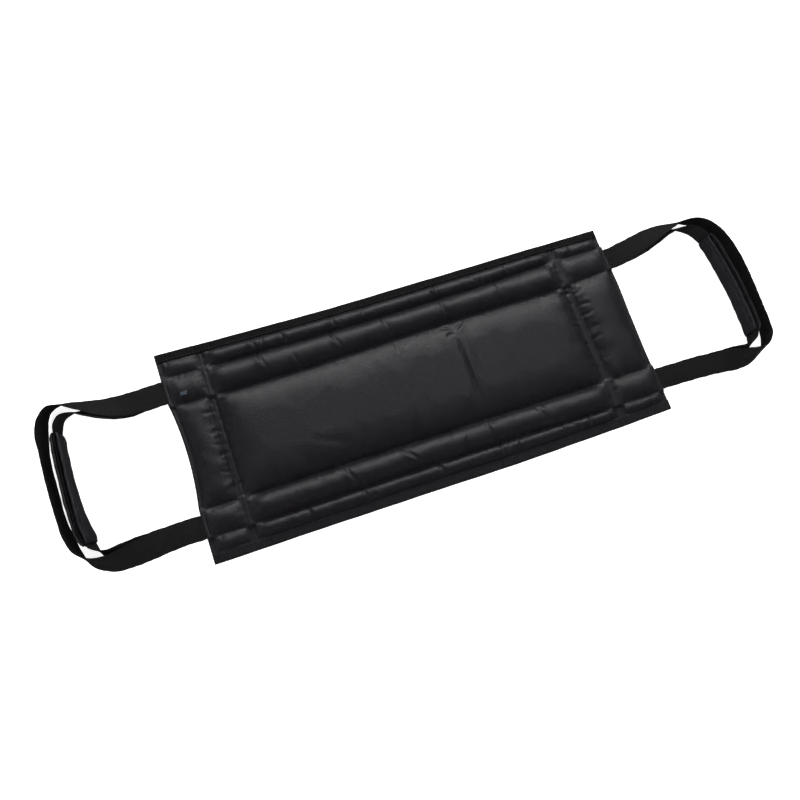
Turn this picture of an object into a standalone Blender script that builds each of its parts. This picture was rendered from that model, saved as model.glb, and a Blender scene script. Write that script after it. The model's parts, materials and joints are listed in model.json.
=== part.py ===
"""Padded patient transfer sling, a gait belt of the wide kind, lying open on its underside.

A quilted pad with two webbing straps sewn into it from end to end. At each end the straps
run on as two nested hand loops: a plain long loop, and a shorter one with a grip sleeve.

Frame: +X along the pad to its right end, +Y to its upper long edge, +Z up. The origin is on
the flat underside, at the middle of the pad. The constants below are in millimetres.
"""

import math

import bmesh
import bpy
from mathutils import Vector

MM = 0.001
COLLECTION = "gait_belt"

# Pad outline and the lengthwise seams between its five sewn channels.
PAD_HALF_LENGTH = 263.0
LOWER_EDGE, UPPER_EDGE = -116.0, 113.0
BINDING_WIDTH = 8.6
BINDING_CLOTH = 0.8
SEAMS = (-107.0, -91.5, -62.5, 56.0, 86.0, 103.0)
CHANNELS = ("lower_edge", "lower_strap", "centre", "upper_strap", "upper_edge")
CROWNS = (10.5, 15.0, 14.0, 15.0, 10.5)
END_CROWNS = (9.0, 9.6, 11.0, 9.6, 9.0)

# Heights of the layers where they are sewn together.
SEAM_TOP, SEAM_BOTTOM = 7.2, 1.5
CLOTH = 0.8
GAP = 0.3
WEBBING_WIDTH, WEBBING_THICKNESS = 25.0, 1.6
TAIL_LEVEL, STRAP_LEVEL = 3.4, 5.3
UPPER_STRAP, LOWER_STRAP = 71.0, -77.5

# Fold lines across the pad. Each end folds beside its double seam, and the pad at its middle seam.
LEFT_FOLD, MIDDLE_FOLD, RIGHT_FOLD = -213.0, 58.0, 197.0
FOLD_LEVEL, MIDDLE_FOLD_LEVEL = 4.35, 15.4
FOLD_GAP, MIDDLE_GAP = 2.7, 0.4
RAMP = 12.0
SEWN_STRIP = 8.5
HEM = 6.0

# Hand loops: the pivots where they leave the pad, and where the long one leaves the short one.
LOOP_PIVOT = 266.0
SPLIT_PIVOT, SPLIT_LEVEL = 288.0, 7.4
PIVOT_GAP = 0.5
SPLIT_GAP = 1.4
SPLIT_START = 0.8
SLEEVE_HEIGHT, SLEEVE_WALL, SLEEVE_FLOOR = 25.2, 2.4, 1.4
THREAD = 0.4
SEAM_STITCHES = (1.5, 6.5)
HEM_STITCH = 3.5
MIDDLE_STITCHES = (-4.0, 6.0)
MIDDLE_STITCH_SPAN = (-36.0, 30.0)

# Clearances of the foam strips from the seams on either side, at the foot and up the sides.
FOAM_FOOT_INSET, FOAM_SIDE_INSET = 4.2, 2.2
LEAST_FOAM = 1.0

# Where the bottom cover reaches its flat, from each seam.
BOTTOM_RAMP = 3.5

# Middle lines of the loops' webbing, anticlockwise from above: x, y, height and tilt in degrees.
# At tilt 0 the webbing lies flat, and at 90 it stands on edge with its upper face outwards.
LEFT_LONG_LOOP = (
    (-SPLIT_PIVOT, 68.8, SPLIT_LEVEL, 2), (-302, 68.6, 8.5, 8), (-326, 72.5, 11.0, 32),
    (-347, 80.5, 12.8, 56), (-367, 88.0, 13.0, 76), (-382, 87.6, 13.0, 90),
    (-390, 79.5, 13.0, 96), (-393, 65.5, 13.0, 100), (-393.6, 42, 12.8, 92), (-393.8, 0, 12.6, 90),
    (-392.6, -28, 12.6, 90), (-389, -47, 12.6, 90), (-382, -62.5, 12.8, 88),
    (-371.5, -75.5, 13.0, 74), (-357, -81.5, 12.4, 52), (-332, -81.5, 10.4, 26),
    (-305, -79.2, 8.5, 8), (-SPLIT_PIVOT, -77.8, SPLIT_LEVEL, 2),
)
LEFT_GRIP_LOOP = (
    (-LOOP_PIVOT, UPPER_STRAP - 0.8, TAIL_LEVEL, 0), (-SPLIT_PIVOT, 68.6, 5.0, 2),
    (-304, 66.5, 5.8, 12), (-326, 66.8, 9.4, 40), (-345, 71.6, 12.2, 64), (-360, 76.4, 14.2, 78),
    (-371.5, 74.5, 14.3, 90), (-376.2, 66.0, 14.3, 96), (-377.4, 54, 14.3, 92),
    (-378.6, 22, 14.3, 90), (-378.8, -2, 14.3, 90), (-377.4, -28, 14.3, 90),
    (-374.4, -48, 14.3, 90), (-370.2, -61, 14.3, 86), (-361.5, -70.0, 13.0, 70),
    (-346, -74.6, 10.2, 44), (-325, -76.2, 7.4, 20), (-304, -77.0, 5.8, 6),
    (-SPLIT_PIVOT, -77.4, 5.0, 2), (-LOOP_PIVOT, LOWER_STRAP, TAIL_LEVEL, 0),
)
RIGHT_LONG_LOOP = (
    (SPLIT_PIVOT, -81.2, SPLIT_LEVEL, 2), (312, -82.2, 8.4, 6), (340, -84.6, 9.8, 12),
    (362, -87.6, 11.8, 30), (381, -88.2, 12.8, 58), (396, -84.2, 13.0, 82),
    (406, -73.5, 12.8, 90), (410.8, -57, 12.6, 90), (413.0, -36, 12.6, 90),
    (415.0, -6, 12.6, 90), (415.4, 20, 12.6, 90), (413.6, 40, 12.6, 90), (409.6, 58, 12.6, 90),
    (402.4, 73, 12.8, 90), (390, 84.6, 13.0, 88), (372, 90.6, 13.0, 76), (350, 90.4, 12.4, 54),
    (326, 85.8, 10.8, 28), (305, 80.8, 8.6, 8), (SPLIT_PIVOT, 77.6, SPLIT_LEVEL, 2),
)
RIGHT_GRIP_LOOP = (
    (LOOP_PIVOT, LOWER_STRAP - 2.6, TAIL_LEVEL, 0), (SPLIT_PIVOT, -80.8, 5.0, 2),
    (312, -81.4, 5.8, 6), (338, -82.6, 6.4, 10), (360, -82.4, 8.6, 28), (377, -79.6, 12.6, 64),
    (387.4, -72.4, 14.3, 86), (393.2, -60, 14.3, 90), (395.6, -42, 14.3, 90),
    (396.0, -14, 14.3, 90), (395.2, 10, 14.3, 90), (393.6, 32, 14.3, 90), (391.0, 50, 14.3, 90),
    (386.2, 65, 14.3, 90), (377.6, 76.6, 14.2, 86), (364, 83.2, 13.4, 74),
    (346, 84.6, 11.6, 56), (324, 82.2, 8.2, 28), (304, 78.8, 5.8, 8),
    (SPLIT_PIVOT, 76.6, 5.0, 2), (LOOP_PIVOT, UPPER_STRAP + 3.6, TAIL_LEVEL, 0),
)
LEFT_SLEEVE_SPAN = (-54.0, 57.0)
RIGHT_SLEEVE_SPAN = (-59.0, 62.0)
OUTER_STRETCH = 365.0
STEPS_PER_POINT = 5

# Surfaces: base colour, roughness.
MATERIALS = {
    "cover_nylon": ((0.016, 0.015, 0.017, 1.0), 0.48),
    "binding_tape": ((0.014, 0.014, 0.014, 1.0), 0.9),
    "webbing": ((0.015, 0.015, 0.016, 1.0), 0.8),
    "sleeve_nylon": ((0.018, 0.017, 0.020, 1.0), 0.5),
    "foam": ((0.35, 0.35, 0.36, 1.0), 0.95),
    "thread": ((0.03, 0.03, 0.032, 1.0), 0.6),
}


def clear_scene():
    """Remove every object of the open scene."""
    for existing in list(bpy.data.objects):
        bpy.data.objects.remove(existing, do_unlink=True)


def new_collection(name):
    """Make a collection in the scene."""
    made = bpy.data.collections.new(name)
    bpy.context.scene.collection.children.link(made)
    return made


def new_material(name):
    """Make the Principled material of this name from the table of surfaces."""
    colour, roughness = MATERIALS[name]
    made = bpy.data.materials.new(name)
    made.use_nodes = True
    made.diffuse_color = colour
    shader = made.node_tree.nodes["Principled BSDF"]
    shader.inputs["Base Color"].default_value = colour
    shader.inputs["Roughness"].default_value = roughness
    shader.inputs["Metallic"].default_value = 0.0
    return made


class Workshop:
    """Holds the collection and the parent empties, and finishes each object the same way."""

    def __init__(self):
        self.parts = new_collection(COLLECTION)
        self.bodies = {}

    def body(self, name, x, level, parent=None):
        """Add an empty on a fold or pivot line. What hangs on it turns about that line."""
        empty = bpy.data.objects.new(name, None)
        empty.location = Vector((x, 0.0, level)) * MM
        empty.empty_display_size = 20 * MM
        self.parts.objects.link(empty)
        bpy.context.view_layer.update()
        if parent:
            self.hang(empty, parent)
        self.bodies[name] = empty

    def hang(self, obj, body):
        """Parent an object to a body's empty, and leave it where it is."""
        obj.parent = self.bodies[body]
        bpy.context.view_layer.update()
        obj.matrix_parent_inverse = obj.parent.matrix_world.inverted()

    def finish(self, obj, material, body):
        """Give an object its own material, and hang it on its body."""
        made = new_material(material)
        made.name = obj.name + "_" + material
        obj.data.materials.append(made)
        self.parts.objects.link(obj)
        self.hang(obj, body)


def block(shop, name, low, high, material, body):
    """A box from its lowest and highest corners, with its origin at its middle."""
    mesh = bpy.data.meshes.new(name)
    box = bmesh.new()
    bmesh.ops.create_cube(box, size=1.0)
    size = [top - bottom for bottom, top in zip(low, high)]
    bmesh.ops.scale(box, vec=Vector(size) * MM, verts=box.verts)
    box.to_mesh(mesh)
    box.free()
    obj = bpy.data.objects.new(name, mesh)
    obj.location = (Vector(low) + Vector(high)) * MM / 2
    shop.finish(obj, material, body)


def extrusion(shop, name, outline, x_range, material, body):
    """A (y, z) outline drawn out along X between two places."""
    curve = bpy.data.curves.new(name, "CURVE")
    curve.dimensions = "2D"
    curve.fill_mode = "BOTH"
    curve.extrude = (x_range[1] - x_range[0]) * MM / 2
    spline = curve.splines.new("POLY")
    spline.points.add(len(outline) - 1)
    for point, (y, z) in zip(spline.points, outline):
        point.co = (y * MM, z * MM, 0.0, 1.0)
    spline.use_cyclic_u = True
    obj = bpy.data.objects.new(name, curve)
    obj.rotation_euler = (math.pi / 2, 0.0, math.pi / 2)
    obj.location = (sum(x_range) * MM / 2, 0.0, 0.0)
    shop.finish(obj, material, body)


def arch(t, channel):
    """Height of a channel's crown from 0 to 1, at t from -1 to 1 across it."""
    if channel == "centre":
        return (1.0 - abs(t) ** 10) ** 0.6
    return (1.0 - t * t) ** 0.6


def fractions(channel):
    """Where the grid lines run across a channel: closer where its side is steep."""
    if channel == "centre":
        half = (0.0, 0.6, 0.84, 0.94, 0.985)
    else:
        half = (0.0, 0.45, 0.76, 0.94)
    return [-t for t in reversed(half[1:])] + list(half)


def rise(distance):
    """Share of the full height reached at a distance from a sewn line."""
    return math.sin(math.pi / 2 * min(max(distance / RAMP, 0.0), 1.0)) if distance > 0 else 0.0


def across(crowns):
    """The (y, top height above the seam) pairs of the grid lines across the pad."""
    lines = [(LOWER_EDGE + BINDING_CLOTH + GAP, 0.0)]
    for index, channel in enumerate(CHANNELS):
        low, high = SEAMS[index], SEAMS[index + 1]
        lines.append((low, 0.0))
        for t in fractions(channel):
            y = (low + high) / 2 + t * (high - low) / 2
            lines.append((y, (crowns[index] - SEAM_TOP) * arch(t, channel)))
    lines.append((SEAMS[-1], 0.0))
    lines.append((UPPER_EDGE - BINDING_CLOTH - GAP, 0.0))
    return lines


def sheet(shop, name, xs, ys, height, upwards, material, body):
    """A cloth sheet on a grid, its outer face at height(i, j), thickened inwards."""
    mesh = bpy.data.meshes.new(name)
    grid = bmesh.new()
    bmesh.ops.create_grid(grid, x_segments=len(xs) - 1, y_segments=len(ys) - 1, size=1.0)
    for vert in grid.verts:
        i = round((vert.co.x + 1) / 2 * (len(xs) - 1))
        j = round((vert.co.y + 1) / 2 * (len(ys) - 1))
        vert.co = Vector((xs[i], ys[j], height(i, j))) * MM
    if not upwards:
        bmesh.ops.reverse_faces(grid, faces=grid.faces)
    grid.to_mesh(mesh)
    grid.free()
    obj = bpy.data.objects.new(name, mesh)
    thick = obj.modifiers.new("cloth", "SOLIDIFY")
    thick.thickness = CLOTH * MM
    thick.offset = -1.0
    shop.finish(obj, material, body)


def covers(shop, section, body, xs, shares, crowns):
    """The top and bottom cover of one section, puffed between its sewn lines."""
    lines = across(crowns)
    ys = [y for y, _ in lines]
    puffs = [puff for _, puff in lines]
    sheet(
        shop, section + "_top_cover", xs, ys,
        lambda i, j: SEAM_TOP + shares[i] * puffs[j], True, "cover_nylon", body,
    )
    flat = [LOWER_EDGE + BINDING_CLOTH + GAP]
    for low, high in zip(SEAMS, SEAMS[1:]):
        flat += [low, low + BOTTOM_RAMP, high - BOTTOM_RAMP]
    flat += [SEAMS[-1], UPPER_EDGE - BINDING_CLOTH - GAP]
    down = [0.0] + [0.0, 1.0, 1.0] * len(CHANNELS) + [0.0, 0.0]
    floor_shares = [min(1.0, 1.5 * share) for share in shares]
    sheet(
        shop, section + "_bottom_cover", xs, flat,
        lambda i, j: SEAM_BOTTOM * (1.0 - floor_shares[i] * down[j]), False, "cover_nylon", body,
    )


def bindings(shop, section, body, x_range):
    """The tape folded over the section's two long edges."""
    low, high = SEAM_BOTTOM - GAP, SEAM_TOP + GAP
    for side, edge, turn in (("upper", UPPER_EDGE, 1.0), ("lower", LOWER_EDGE, -1.0)):
        inner = edge - turn * BINDING_WIDTH
        fold = edge - turn * BINDING_CLOTH
        outline = [
            (inner, low - BINDING_CLOTH), (edge, low - BINDING_CLOTH),
            (edge, high + BINDING_CLOTH), (inner, high + BINDING_CLOTH),
            (inner, high), (fold, high), (fold, low), (inner, low),
        ]
        extrusion(shop, f"{section}_{side}_binding", outline, x_range, "binding_tape", body)


def foam(shop, section, channel, crown, x_range, body):
    """The foam strip in one channel. In a strap's channel it lies on top of the webbing."""
    index = CHANNELS.index(channel)
    low, high = SEAMS[index], SEAMS[index + 1]
    clear = CLOTH + 2 * GAP
    base = SEAM_BOTTOM
    if "strap" in channel:
        base = STRAP_LEVEL + WEBBING_THICKNESS / 2 + GAP
    outline = [(low + FOAM_FOOT_INSET, base), (high - FOAM_FOOT_INSET, base)]
    for t in reversed(fractions(channel)):
        y = (low + high) / 2 + t * (high - low) / 2
        z = SEAM_TOP + (crown - SEAM_TOP) * arch(t, channel) - clear
        if low + FOAM_SIDE_INSET < y < high - FOAM_SIDE_INSET and z > base + LEAST_FOAM:
            outline.append((y, z))
    extrusion(shop, f"{section}_foam_{channel}", outline, x_range, "foam", body)


def flat_webbing(shop, name, y, level, x_range, body):
    """A straight stretch of webbing inside the pad."""
    half = WEBBING_WIDTH / 2
    rise_half = WEBBING_THICKNESS / 2
    low = (x_range[0], y - half, level - rise_half)
    high = (x_range[1], y + half, level + rise_half)
    block(shop, name, low, high, "webbing", body)


def smooth_path(points):
    """A Catmull-Rom curve through the points, as a list of vectors of the same length."""
    rows = [Vector(point) for point in points]
    rows = [2 * rows[0] - rows[1], *rows, 2 * rows[-1] - rows[-2]]
    path = []
    for a, b, c, d in zip(rows, rows[1:], rows[2:], rows[3:]):
        for step in range(STEPS_PER_POINT):
            s = step / STEPS_PER_POINT
            path.append(
                0.5 * (2 * b + (c - a) * s + (2 * a - 5 * b + 4 * c - d) * s**2
                       + (3 * b - a - 3 * c + d) * s**3)
            )
    path.append(rows[-2])
    return path


def section_axes(before, after, tilt):
    """The across and up directions of a strap running from one point to another, tilted."""
    along = (Vector(after[:3]) - Vector(before[:3])).normalized()
    across_path = Vector((0.0, 0.0, 1.0)).cross(along).normalized()
    up = along.cross(across_path)
    turn = math.radians(tilt)
    return (
        across_path * math.cos(turn) + up * math.sin(turn),
        up * math.cos(turn) - across_path * math.sin(turn),
    )


def swept(shop, name, path, outline, material, body):
    """A strap: a loft of one outline along a path whose fourth number is its tilt."""
    mesh = bpy.data.meshes.new(name)
    strap = bmesh.new()
    rings = []
    for index, point in enumerate(path):
        before, after = path[max(index - 1, 0)], path[min(index + 1, len(path) - 1)]
        side, up = section_axes(before, after, point[3])
        centre = Vector(point[:3])
        rings.append([strap.verts.new((centre + side * u + up * v) * MM) for u, v in outline])
    for ring, following in zip(rings, rings[1:]):
        for k, corner in enumerate(ring):
            n = (k + 1) % len(ring)
            strap.faces.new((corner, ring[n], following[n], following[k]))
    strap.faces.new(list(reversed(rings[0])))
    strap.faces.new(rings[-1])
    bmesh.ops.recalc_face_normals(strap, faces=strap.faces)
    strap.to_mesh(mesh)
    strap.free()
    shop.finish(bpy.data.objects.new(name, mesh), material, body)


def trimmed(path, start, end):
    """Move a path's two ends, along X only, to where its piece begins and stops."""
    kept = [point.copy() for point in path]
    kept[0].x = start
    kept[-1].x = end
    return kept


def build_sections(shop):
    """The four sections of the pad, between its ends and its fold lines."""
    end = PAD_HALF_LENGTH
    left, middle, right = LEFT_FOLD, MIDDLE_FOLD, RIGHT_FOLD
    main_start, main_end = left + FOLD_GAP, middle - MIDDLE_GAP
    half_start, half_end = middle + MIDDLE_GAP, right - FOLD_GAP
    ramp = (0.0, 2.5, 5.5, 8.5, RAMP)
    main_xs = [main_start + d for d in ramp] + [-70.0, main_end]
    half_xs = [half_start, 120.0] + [half_end - d for d in reversed(ramp)]
    end_ramp = (0.0, 3.0, 7.0, RAMP)
    left_strip, right_strip = left - FOLD_GAP - SEWN_STRIP, right + FOLD_GAP + SEWN_STRIP
    left_xs = [-end] + [-end + HEM + d for d in end_ramp]
    left_xs += [left_strip - d for d in reversed(end_ramp)] + [left - FOLD_GAP]
    right_xs = [right + FOLD_GAP] + [right_strip + d for d in end_ramp]
    right_xs += [end - HEM - d for d in reversed(end_ramp)] + [end]
    sections = (
        ("main", "pad_main", main_xs, [rise(x - main_start) for x in main_xs], CROWNS),
        ("right", "pad_right", half_xs, [rise(half_end - x) for x in half_xs], CROWNS),
        ("left_end", "pad_left_end", left_xs,
         [rise(min(x + end - HEM, left_strip - x)) for x in left_xs], END_CROWNS),
        ("right_end", "pad_right_end", right_xs,
         [rise(min(end - HEM - x, x - right_strip)) for x in right_xs], END_CROWNS),
    )
    for name, body, xs, shares, crowns in sections:
        covers(shop, name, body, xs, shares, crowns)
        bindings(shop, name, body, (xs[0], xs[-1]))
        for side, y in (("upper", UPPER_STRAP), ("lower", LOWER_STRAP)):
            flat_webbing(shop, f"{name}_{side}_webbing", y, STRAP_LEVEL, (xs[0], xs[-1]), body)
    for channel, crown in zip(CHANNELS, CROWNS):
        foam(shop, "main", channel, crown, (main_start + RAMP, main_end), "pad_main")
        foam(shop, "right", channel, crown, (half_start, half_end - RAMP), "pad_right")
    inner = HEM + RAMP
    crown = END_CROWNS[2]
    foam(shop, "left_end", "centre", crown, (-end + inner, left_strip - RAMP), "pad_left_end")
    foam(shop, "right_end", "centre", crown, (right_strip + RAMP, end - inner), "pad_right_end")


def build_tails(shop):
    """The short loops' webbing where it is sewn in under the long straps."""
    spans = {
        "left": (-PAD_HALF_LENGTH, LEFT_FOLD - FOLD_GAP),
        "right": (RIGHT_FOLD + FOLD_GAP, PAD_HALF_LENGTH),
    }
    for hand, x_range in spans.items():
        for side, y in (("upper", UPPER_STRAP), ("lower", LOWER_STRAP)):
            name = f"{hand}_end_{side}_grip_tail"
            flat_webbing(shop, name, y, TAIL_LEVEL, x_range, f"pad_{hand}_end")


def build_threads(shop):
    """The thread rows of the cross seams, the end hems and the middle seam."""
    y_range = (SEAMS[0] + 1.0, SEAMS[-1] - 1.0)
    level = SEAM_TOP + GAP
    inner, outer = SEAM_STITCHES
    left, right = LEFT_FOLD - FOLD_GAP, RIGHT_FOLD + FOLD_GAP
    hem = PAD_HALF_LENGTH - HEM_STITCH
    before, after = (MIDDLE_FOLD + distance for distance in MIDDLE_STITCHES)
    crown = CROWNS[2] + GAP
    rows = {
        "left_cross_seam_outer_thread": (left - outer, y_range, level, "pad_left_end"),
        "left_cross_seam_inner_thread": (left - inner, y_range, level, "pad_left_end"),
        "right_cross_seam_inner_thread": (right + inner, y_range, level, "pad_right_end"),
        "right_cross_seam_outer_thread": (right + outer, y_range, level, "pad_right_end"),
        "left_end_hem_thread": (-hem, y_range, level, "pad_left_end"),
        "right_end_hem_thread": (hem, y_range, level, "pad_right_end"),
        "middle_seam_main_thread": (before, MIDDLE_STITCH_SPAN, crown, "pad_main"),
        "middle_seam_right_thread": (after, MIDDLE_STITCH_SPAN, crown, "pad_right"),
    }
    for name, (x, (start, stop), z, body) in rows.items():
        low = (x - THREAD, start, z)
        high = (x + THREAD, stop, z + THREAD)
        block(shop, name, low, high, "thread", body)


def build_loops(shop):
    """The two nested hand loops at each end of the pad."""
    half, thin = WEBBING_WIDTH / 2, WEBBING_THICKNESS / 2
    strap = [(-half, -thin), (half, -thin), (half, thin), (-half, thin)]
    inside = thin + GAP
    wall = inside + SLEEVE_WALL
    foot = -half - GAP
    top = foot - SLEEVE_FLOOR + SLEEVE_HEIGHT
    sleeve = [
        (foot - SLEEVE_FLOOR, -wall), (top, -wall), (top, -inside), (foot, -inside),
        (foot, inside), (top, inside), (top, wall), (foot - SLEEVE_FLOOR, wall),
    ]
    sides = (
        ("left", -1.0, LEFT_LONG_LOOP, LEFT_GRIP_LOOP, LEFT_SLEEVE_SPAN),
        ("right", 1.0, RIGHT_LONG_LOOP, RIGHT_GRIP_LOOP, RIGHT_SLEEVE_SPAN),
    )
    for hand, way, long_points, grip_points, span in sides:
        long_start = way * (SPLIT_PIVOT + SPLIT_START)
        long_path = trimmed(smooth_path(long_points), long_start, long_start)
        swept(shop, f"{hand}_long_loop_webbing", long_path, strap, "webbing", f"{hand}_long_loop")
        grip_start = way * (LOOP_PIVOT + PIVOT_GAP)
        grip_path = smooth_path(grip_points)
        kept = trimmed(grip_path, grip_start, grip_start)
        swept(shop, f"{hand}_grip_loop_webbing", kept, strap, "webbing", f"{hand}_grip_loop")
        outer = [p for p in grip_path if p.x * way > OUTER_STRETCH]
        held = [p for p in outer if span[0] < p.y < span[1]]
        swept(shop, f"{hand}_grip_sleeve", held, sleeve, "sleeve_nylon", f"{hand}_grip_loop")
        ends = {"upper": 0, "lower": -1} if way < 0 else {"upper": -1, "lower": 0}
        for side, index in ends.items():
            root = (way * (LOOP_PIVOT + PIVOT_GAP), grip_points[index][1], STRAP_LEVEL, 0.0)
            split = (way * (SPLIT_PIVOT - SPLIT_GAP), long_points[index][1], SPLIT_LEVEL, 2.0)
            path = [Vector(root), Vector(split)] if index == 0 else [Vector(split), Vector(root)]
            swept(shop, f"{hand}_{side}_strap_root", path, strap, "webbing", f"{hand}_grip_loop")


def build():
    """Make the sling."""
    clear_scene()
    shop = Workshop()
    shop.body("pad_main", 0.0, 0.0)
    shop.body("pad_right", MIDDLE_FOLD, MIDDLE_FOLD_LEVEL, "pad_main")
    shop.body("pad_left_end", LEFT_FOLD, FOLD_LEVEL, "pad_main")
    shop.body("pad_right_end", RIGHT_FOLD, FOLD_LEVEL, "pad_right")
    shop.body("left_grip_loop", -LOOP_PIVOT, FOLD_LEVEL, "pad_left_end")
    shop.body("left_long_loop", -SPLIT_PIVOT, SPLIT_LEVEL, "left_grip_loop")
    shop.body("right_grip_loop", LOOP_PIVOT, FOLD_LEVEL, "pad_right_end")
    shop.body("right_long_loop", SPLIT_PIVOT, SPLIT_LEVEL, "right_grip_loop")
    build_sections(shop)
    build_tails(shop)
    build_threads(shop)
    build_loops(shop)


build()
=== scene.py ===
"""The looks of a padded patient transfer sling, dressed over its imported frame.

The sling is a quilted nylon pad, blown up between its seams by a cloth simulation, with a
folded tape on its two long edges and two nested webbing hand loops at each end. The shorter
loop of each pair carries a folded nylon grip sleeve.

Frame: +X along the pad to its right end, +Y to its upper long edge, +Z up. Lengths below are
in millimetres unless a name or a docstring says otherwise.
"""

import json
import logging
from dataclasses import dataclass, field
from enum import Enum

import bpy
import numpy as np
from mathutils import Matrix, Vector

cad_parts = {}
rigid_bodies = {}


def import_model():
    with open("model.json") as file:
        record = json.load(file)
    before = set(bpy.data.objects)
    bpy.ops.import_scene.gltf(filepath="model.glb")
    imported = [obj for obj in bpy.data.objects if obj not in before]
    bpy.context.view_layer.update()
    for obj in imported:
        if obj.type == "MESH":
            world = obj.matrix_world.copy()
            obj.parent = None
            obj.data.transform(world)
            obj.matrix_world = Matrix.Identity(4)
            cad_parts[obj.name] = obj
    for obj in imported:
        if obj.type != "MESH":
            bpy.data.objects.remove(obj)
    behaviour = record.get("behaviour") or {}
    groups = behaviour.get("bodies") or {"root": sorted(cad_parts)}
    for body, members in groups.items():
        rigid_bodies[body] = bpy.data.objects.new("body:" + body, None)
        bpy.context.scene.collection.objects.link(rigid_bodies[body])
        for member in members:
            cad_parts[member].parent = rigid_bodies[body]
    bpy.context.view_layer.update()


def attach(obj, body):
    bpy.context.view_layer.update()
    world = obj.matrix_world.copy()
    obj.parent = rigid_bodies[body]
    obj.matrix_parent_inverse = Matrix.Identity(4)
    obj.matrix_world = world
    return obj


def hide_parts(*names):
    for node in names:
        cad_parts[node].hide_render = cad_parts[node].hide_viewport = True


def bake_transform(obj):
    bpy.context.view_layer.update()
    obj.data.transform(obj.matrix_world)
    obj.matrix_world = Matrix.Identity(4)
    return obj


MM = 0.001
LOG = logging.getLogger("sling")
Knots = tuple[tuple[float, float], ...]
Rows = tuple[tuple[float, float, float, float], ...]


# --------------------------------------------------------------------------- numbers and curves


def curve_through(knots: Knots, at: np.ndarray) -> np.ndarray:
    """Read a smooth curve at many places.

    Between two knots it is the cubic that meets both values, with the slope at each knot taken
    as the mean of the slopes on either side.

    Args:
        knots: (place, value) pairs in rising order of place.
        at: the places to read.

    Returns:
        The values, in the shape of at.
    """
    places, values = np.array(knots, float).T
    slopes = np.gradient(values, places)
    k = np.clip(np.searchsorted(places, at) - 1, 0, len(places) - 2)
    width = places[k + 1] - places[k]
    s = (at - places[k]) / width
    rest = 1.0 - s
    return (
        values[k] * (1.0 + 2.0 * s) * rest**2
        + slopes[k] * width * s * rest**2
        + values[k + 1] * s**2 * (3.0 - 2.0 * s)
        - slopes[k + 1] * width * s**2 * rest
    )


def rise(distance: np.ndarray, length: float) -> np.ndarray:
    """A quarter sine from 0 to 1 over a length, then 1."""
    return np.sin(np.pi / 2 * np.clip(distance / length, 0.0, 1.0))


def between(at: np.ndarray, low: float, high: float, ramp: float, clear: float = 0.0) -> np.ndarray:
    """A plateau: 0 outside low to high, and a quarter sine up to 1 inwards from each.

    Args:
        at: the places to read.
        low, high: its two feet.
        ramp: how far it takes to rise.
        clear: how far inside its feet it starts to rise.

    Returns:
        Its height at each place.
    """
    inside = (at > low) & (at < high)
    return np.minimum(rise(at - low - clear, ramp), rise(high - at - clear, ramp)) * inside


def bell(distance: np.ndarray, width: float) -> np.ndarray:
    """A Gaussian bump of height 1: e to the minus (distance over width) squared."""
    return np.exp(-((distance / width) ** 2))


def blurred(values: np.ndarray, times: int) -> np.ndarray:
    """Average each value of a grid with its neighbours, 1-2-1, along both axes.

    Args:
        values: the grid. Its first two axes are blurred, and wrap round.
        times: how often.

    Returns:
        The blurred grid.
    """
    for _ in range(times):
        for axis in (0, 1):
            values = (np.roll(values, 1, axis) + 2 * values + np.roll(values, -1, axis)) / 4
    return values


def halved(values: np.ndarray, axis: int) -> np.ndarray:
    """Double a grid's lines along an axis.

    Each new value is the cubic mid-point of the four around it, (9(b + c) - a - d) / 16, and at
    the grid's borders the plain mean of the two beside it.

    Args:
        values: the grid.
        axis: the axis along which lines are added.

    Returns:
        The finer grid, which keeps every old value.
    """
    rows = np.moveaxis(values, axis, 0)
    middle = (rows[1:] + rows[:-1]) / 2
    middle[1:-1] += (rows[1:-2] + rows[2:-1] - rows[:-3] - rows[3:]) / 16
    made = np.empty((2 * len(rows) - 1, *rows.shape[1:]))
    made[::2], made[1::2] = rows, middle
    return np.moveaxis(made, 0, axis)


def unit(vectors: np.ndarray) -> np.ndarray:
    """Scale vectors to length one."""
    return vectors / np.maximum(np.linalg.norm(vectors, axis=-1, keepdims=True), 1e-12)


def grid_normals(points: np.ndarray) -> np.ndarray:
    """Normals of a grid surface: the cross product of its slopes along its two axes."""
    return unit(np.cross(np.gradient(points, axis=0), np.gradient(points, axis=1)))


# --------------------------------------------------------------------------- meshes


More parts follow.
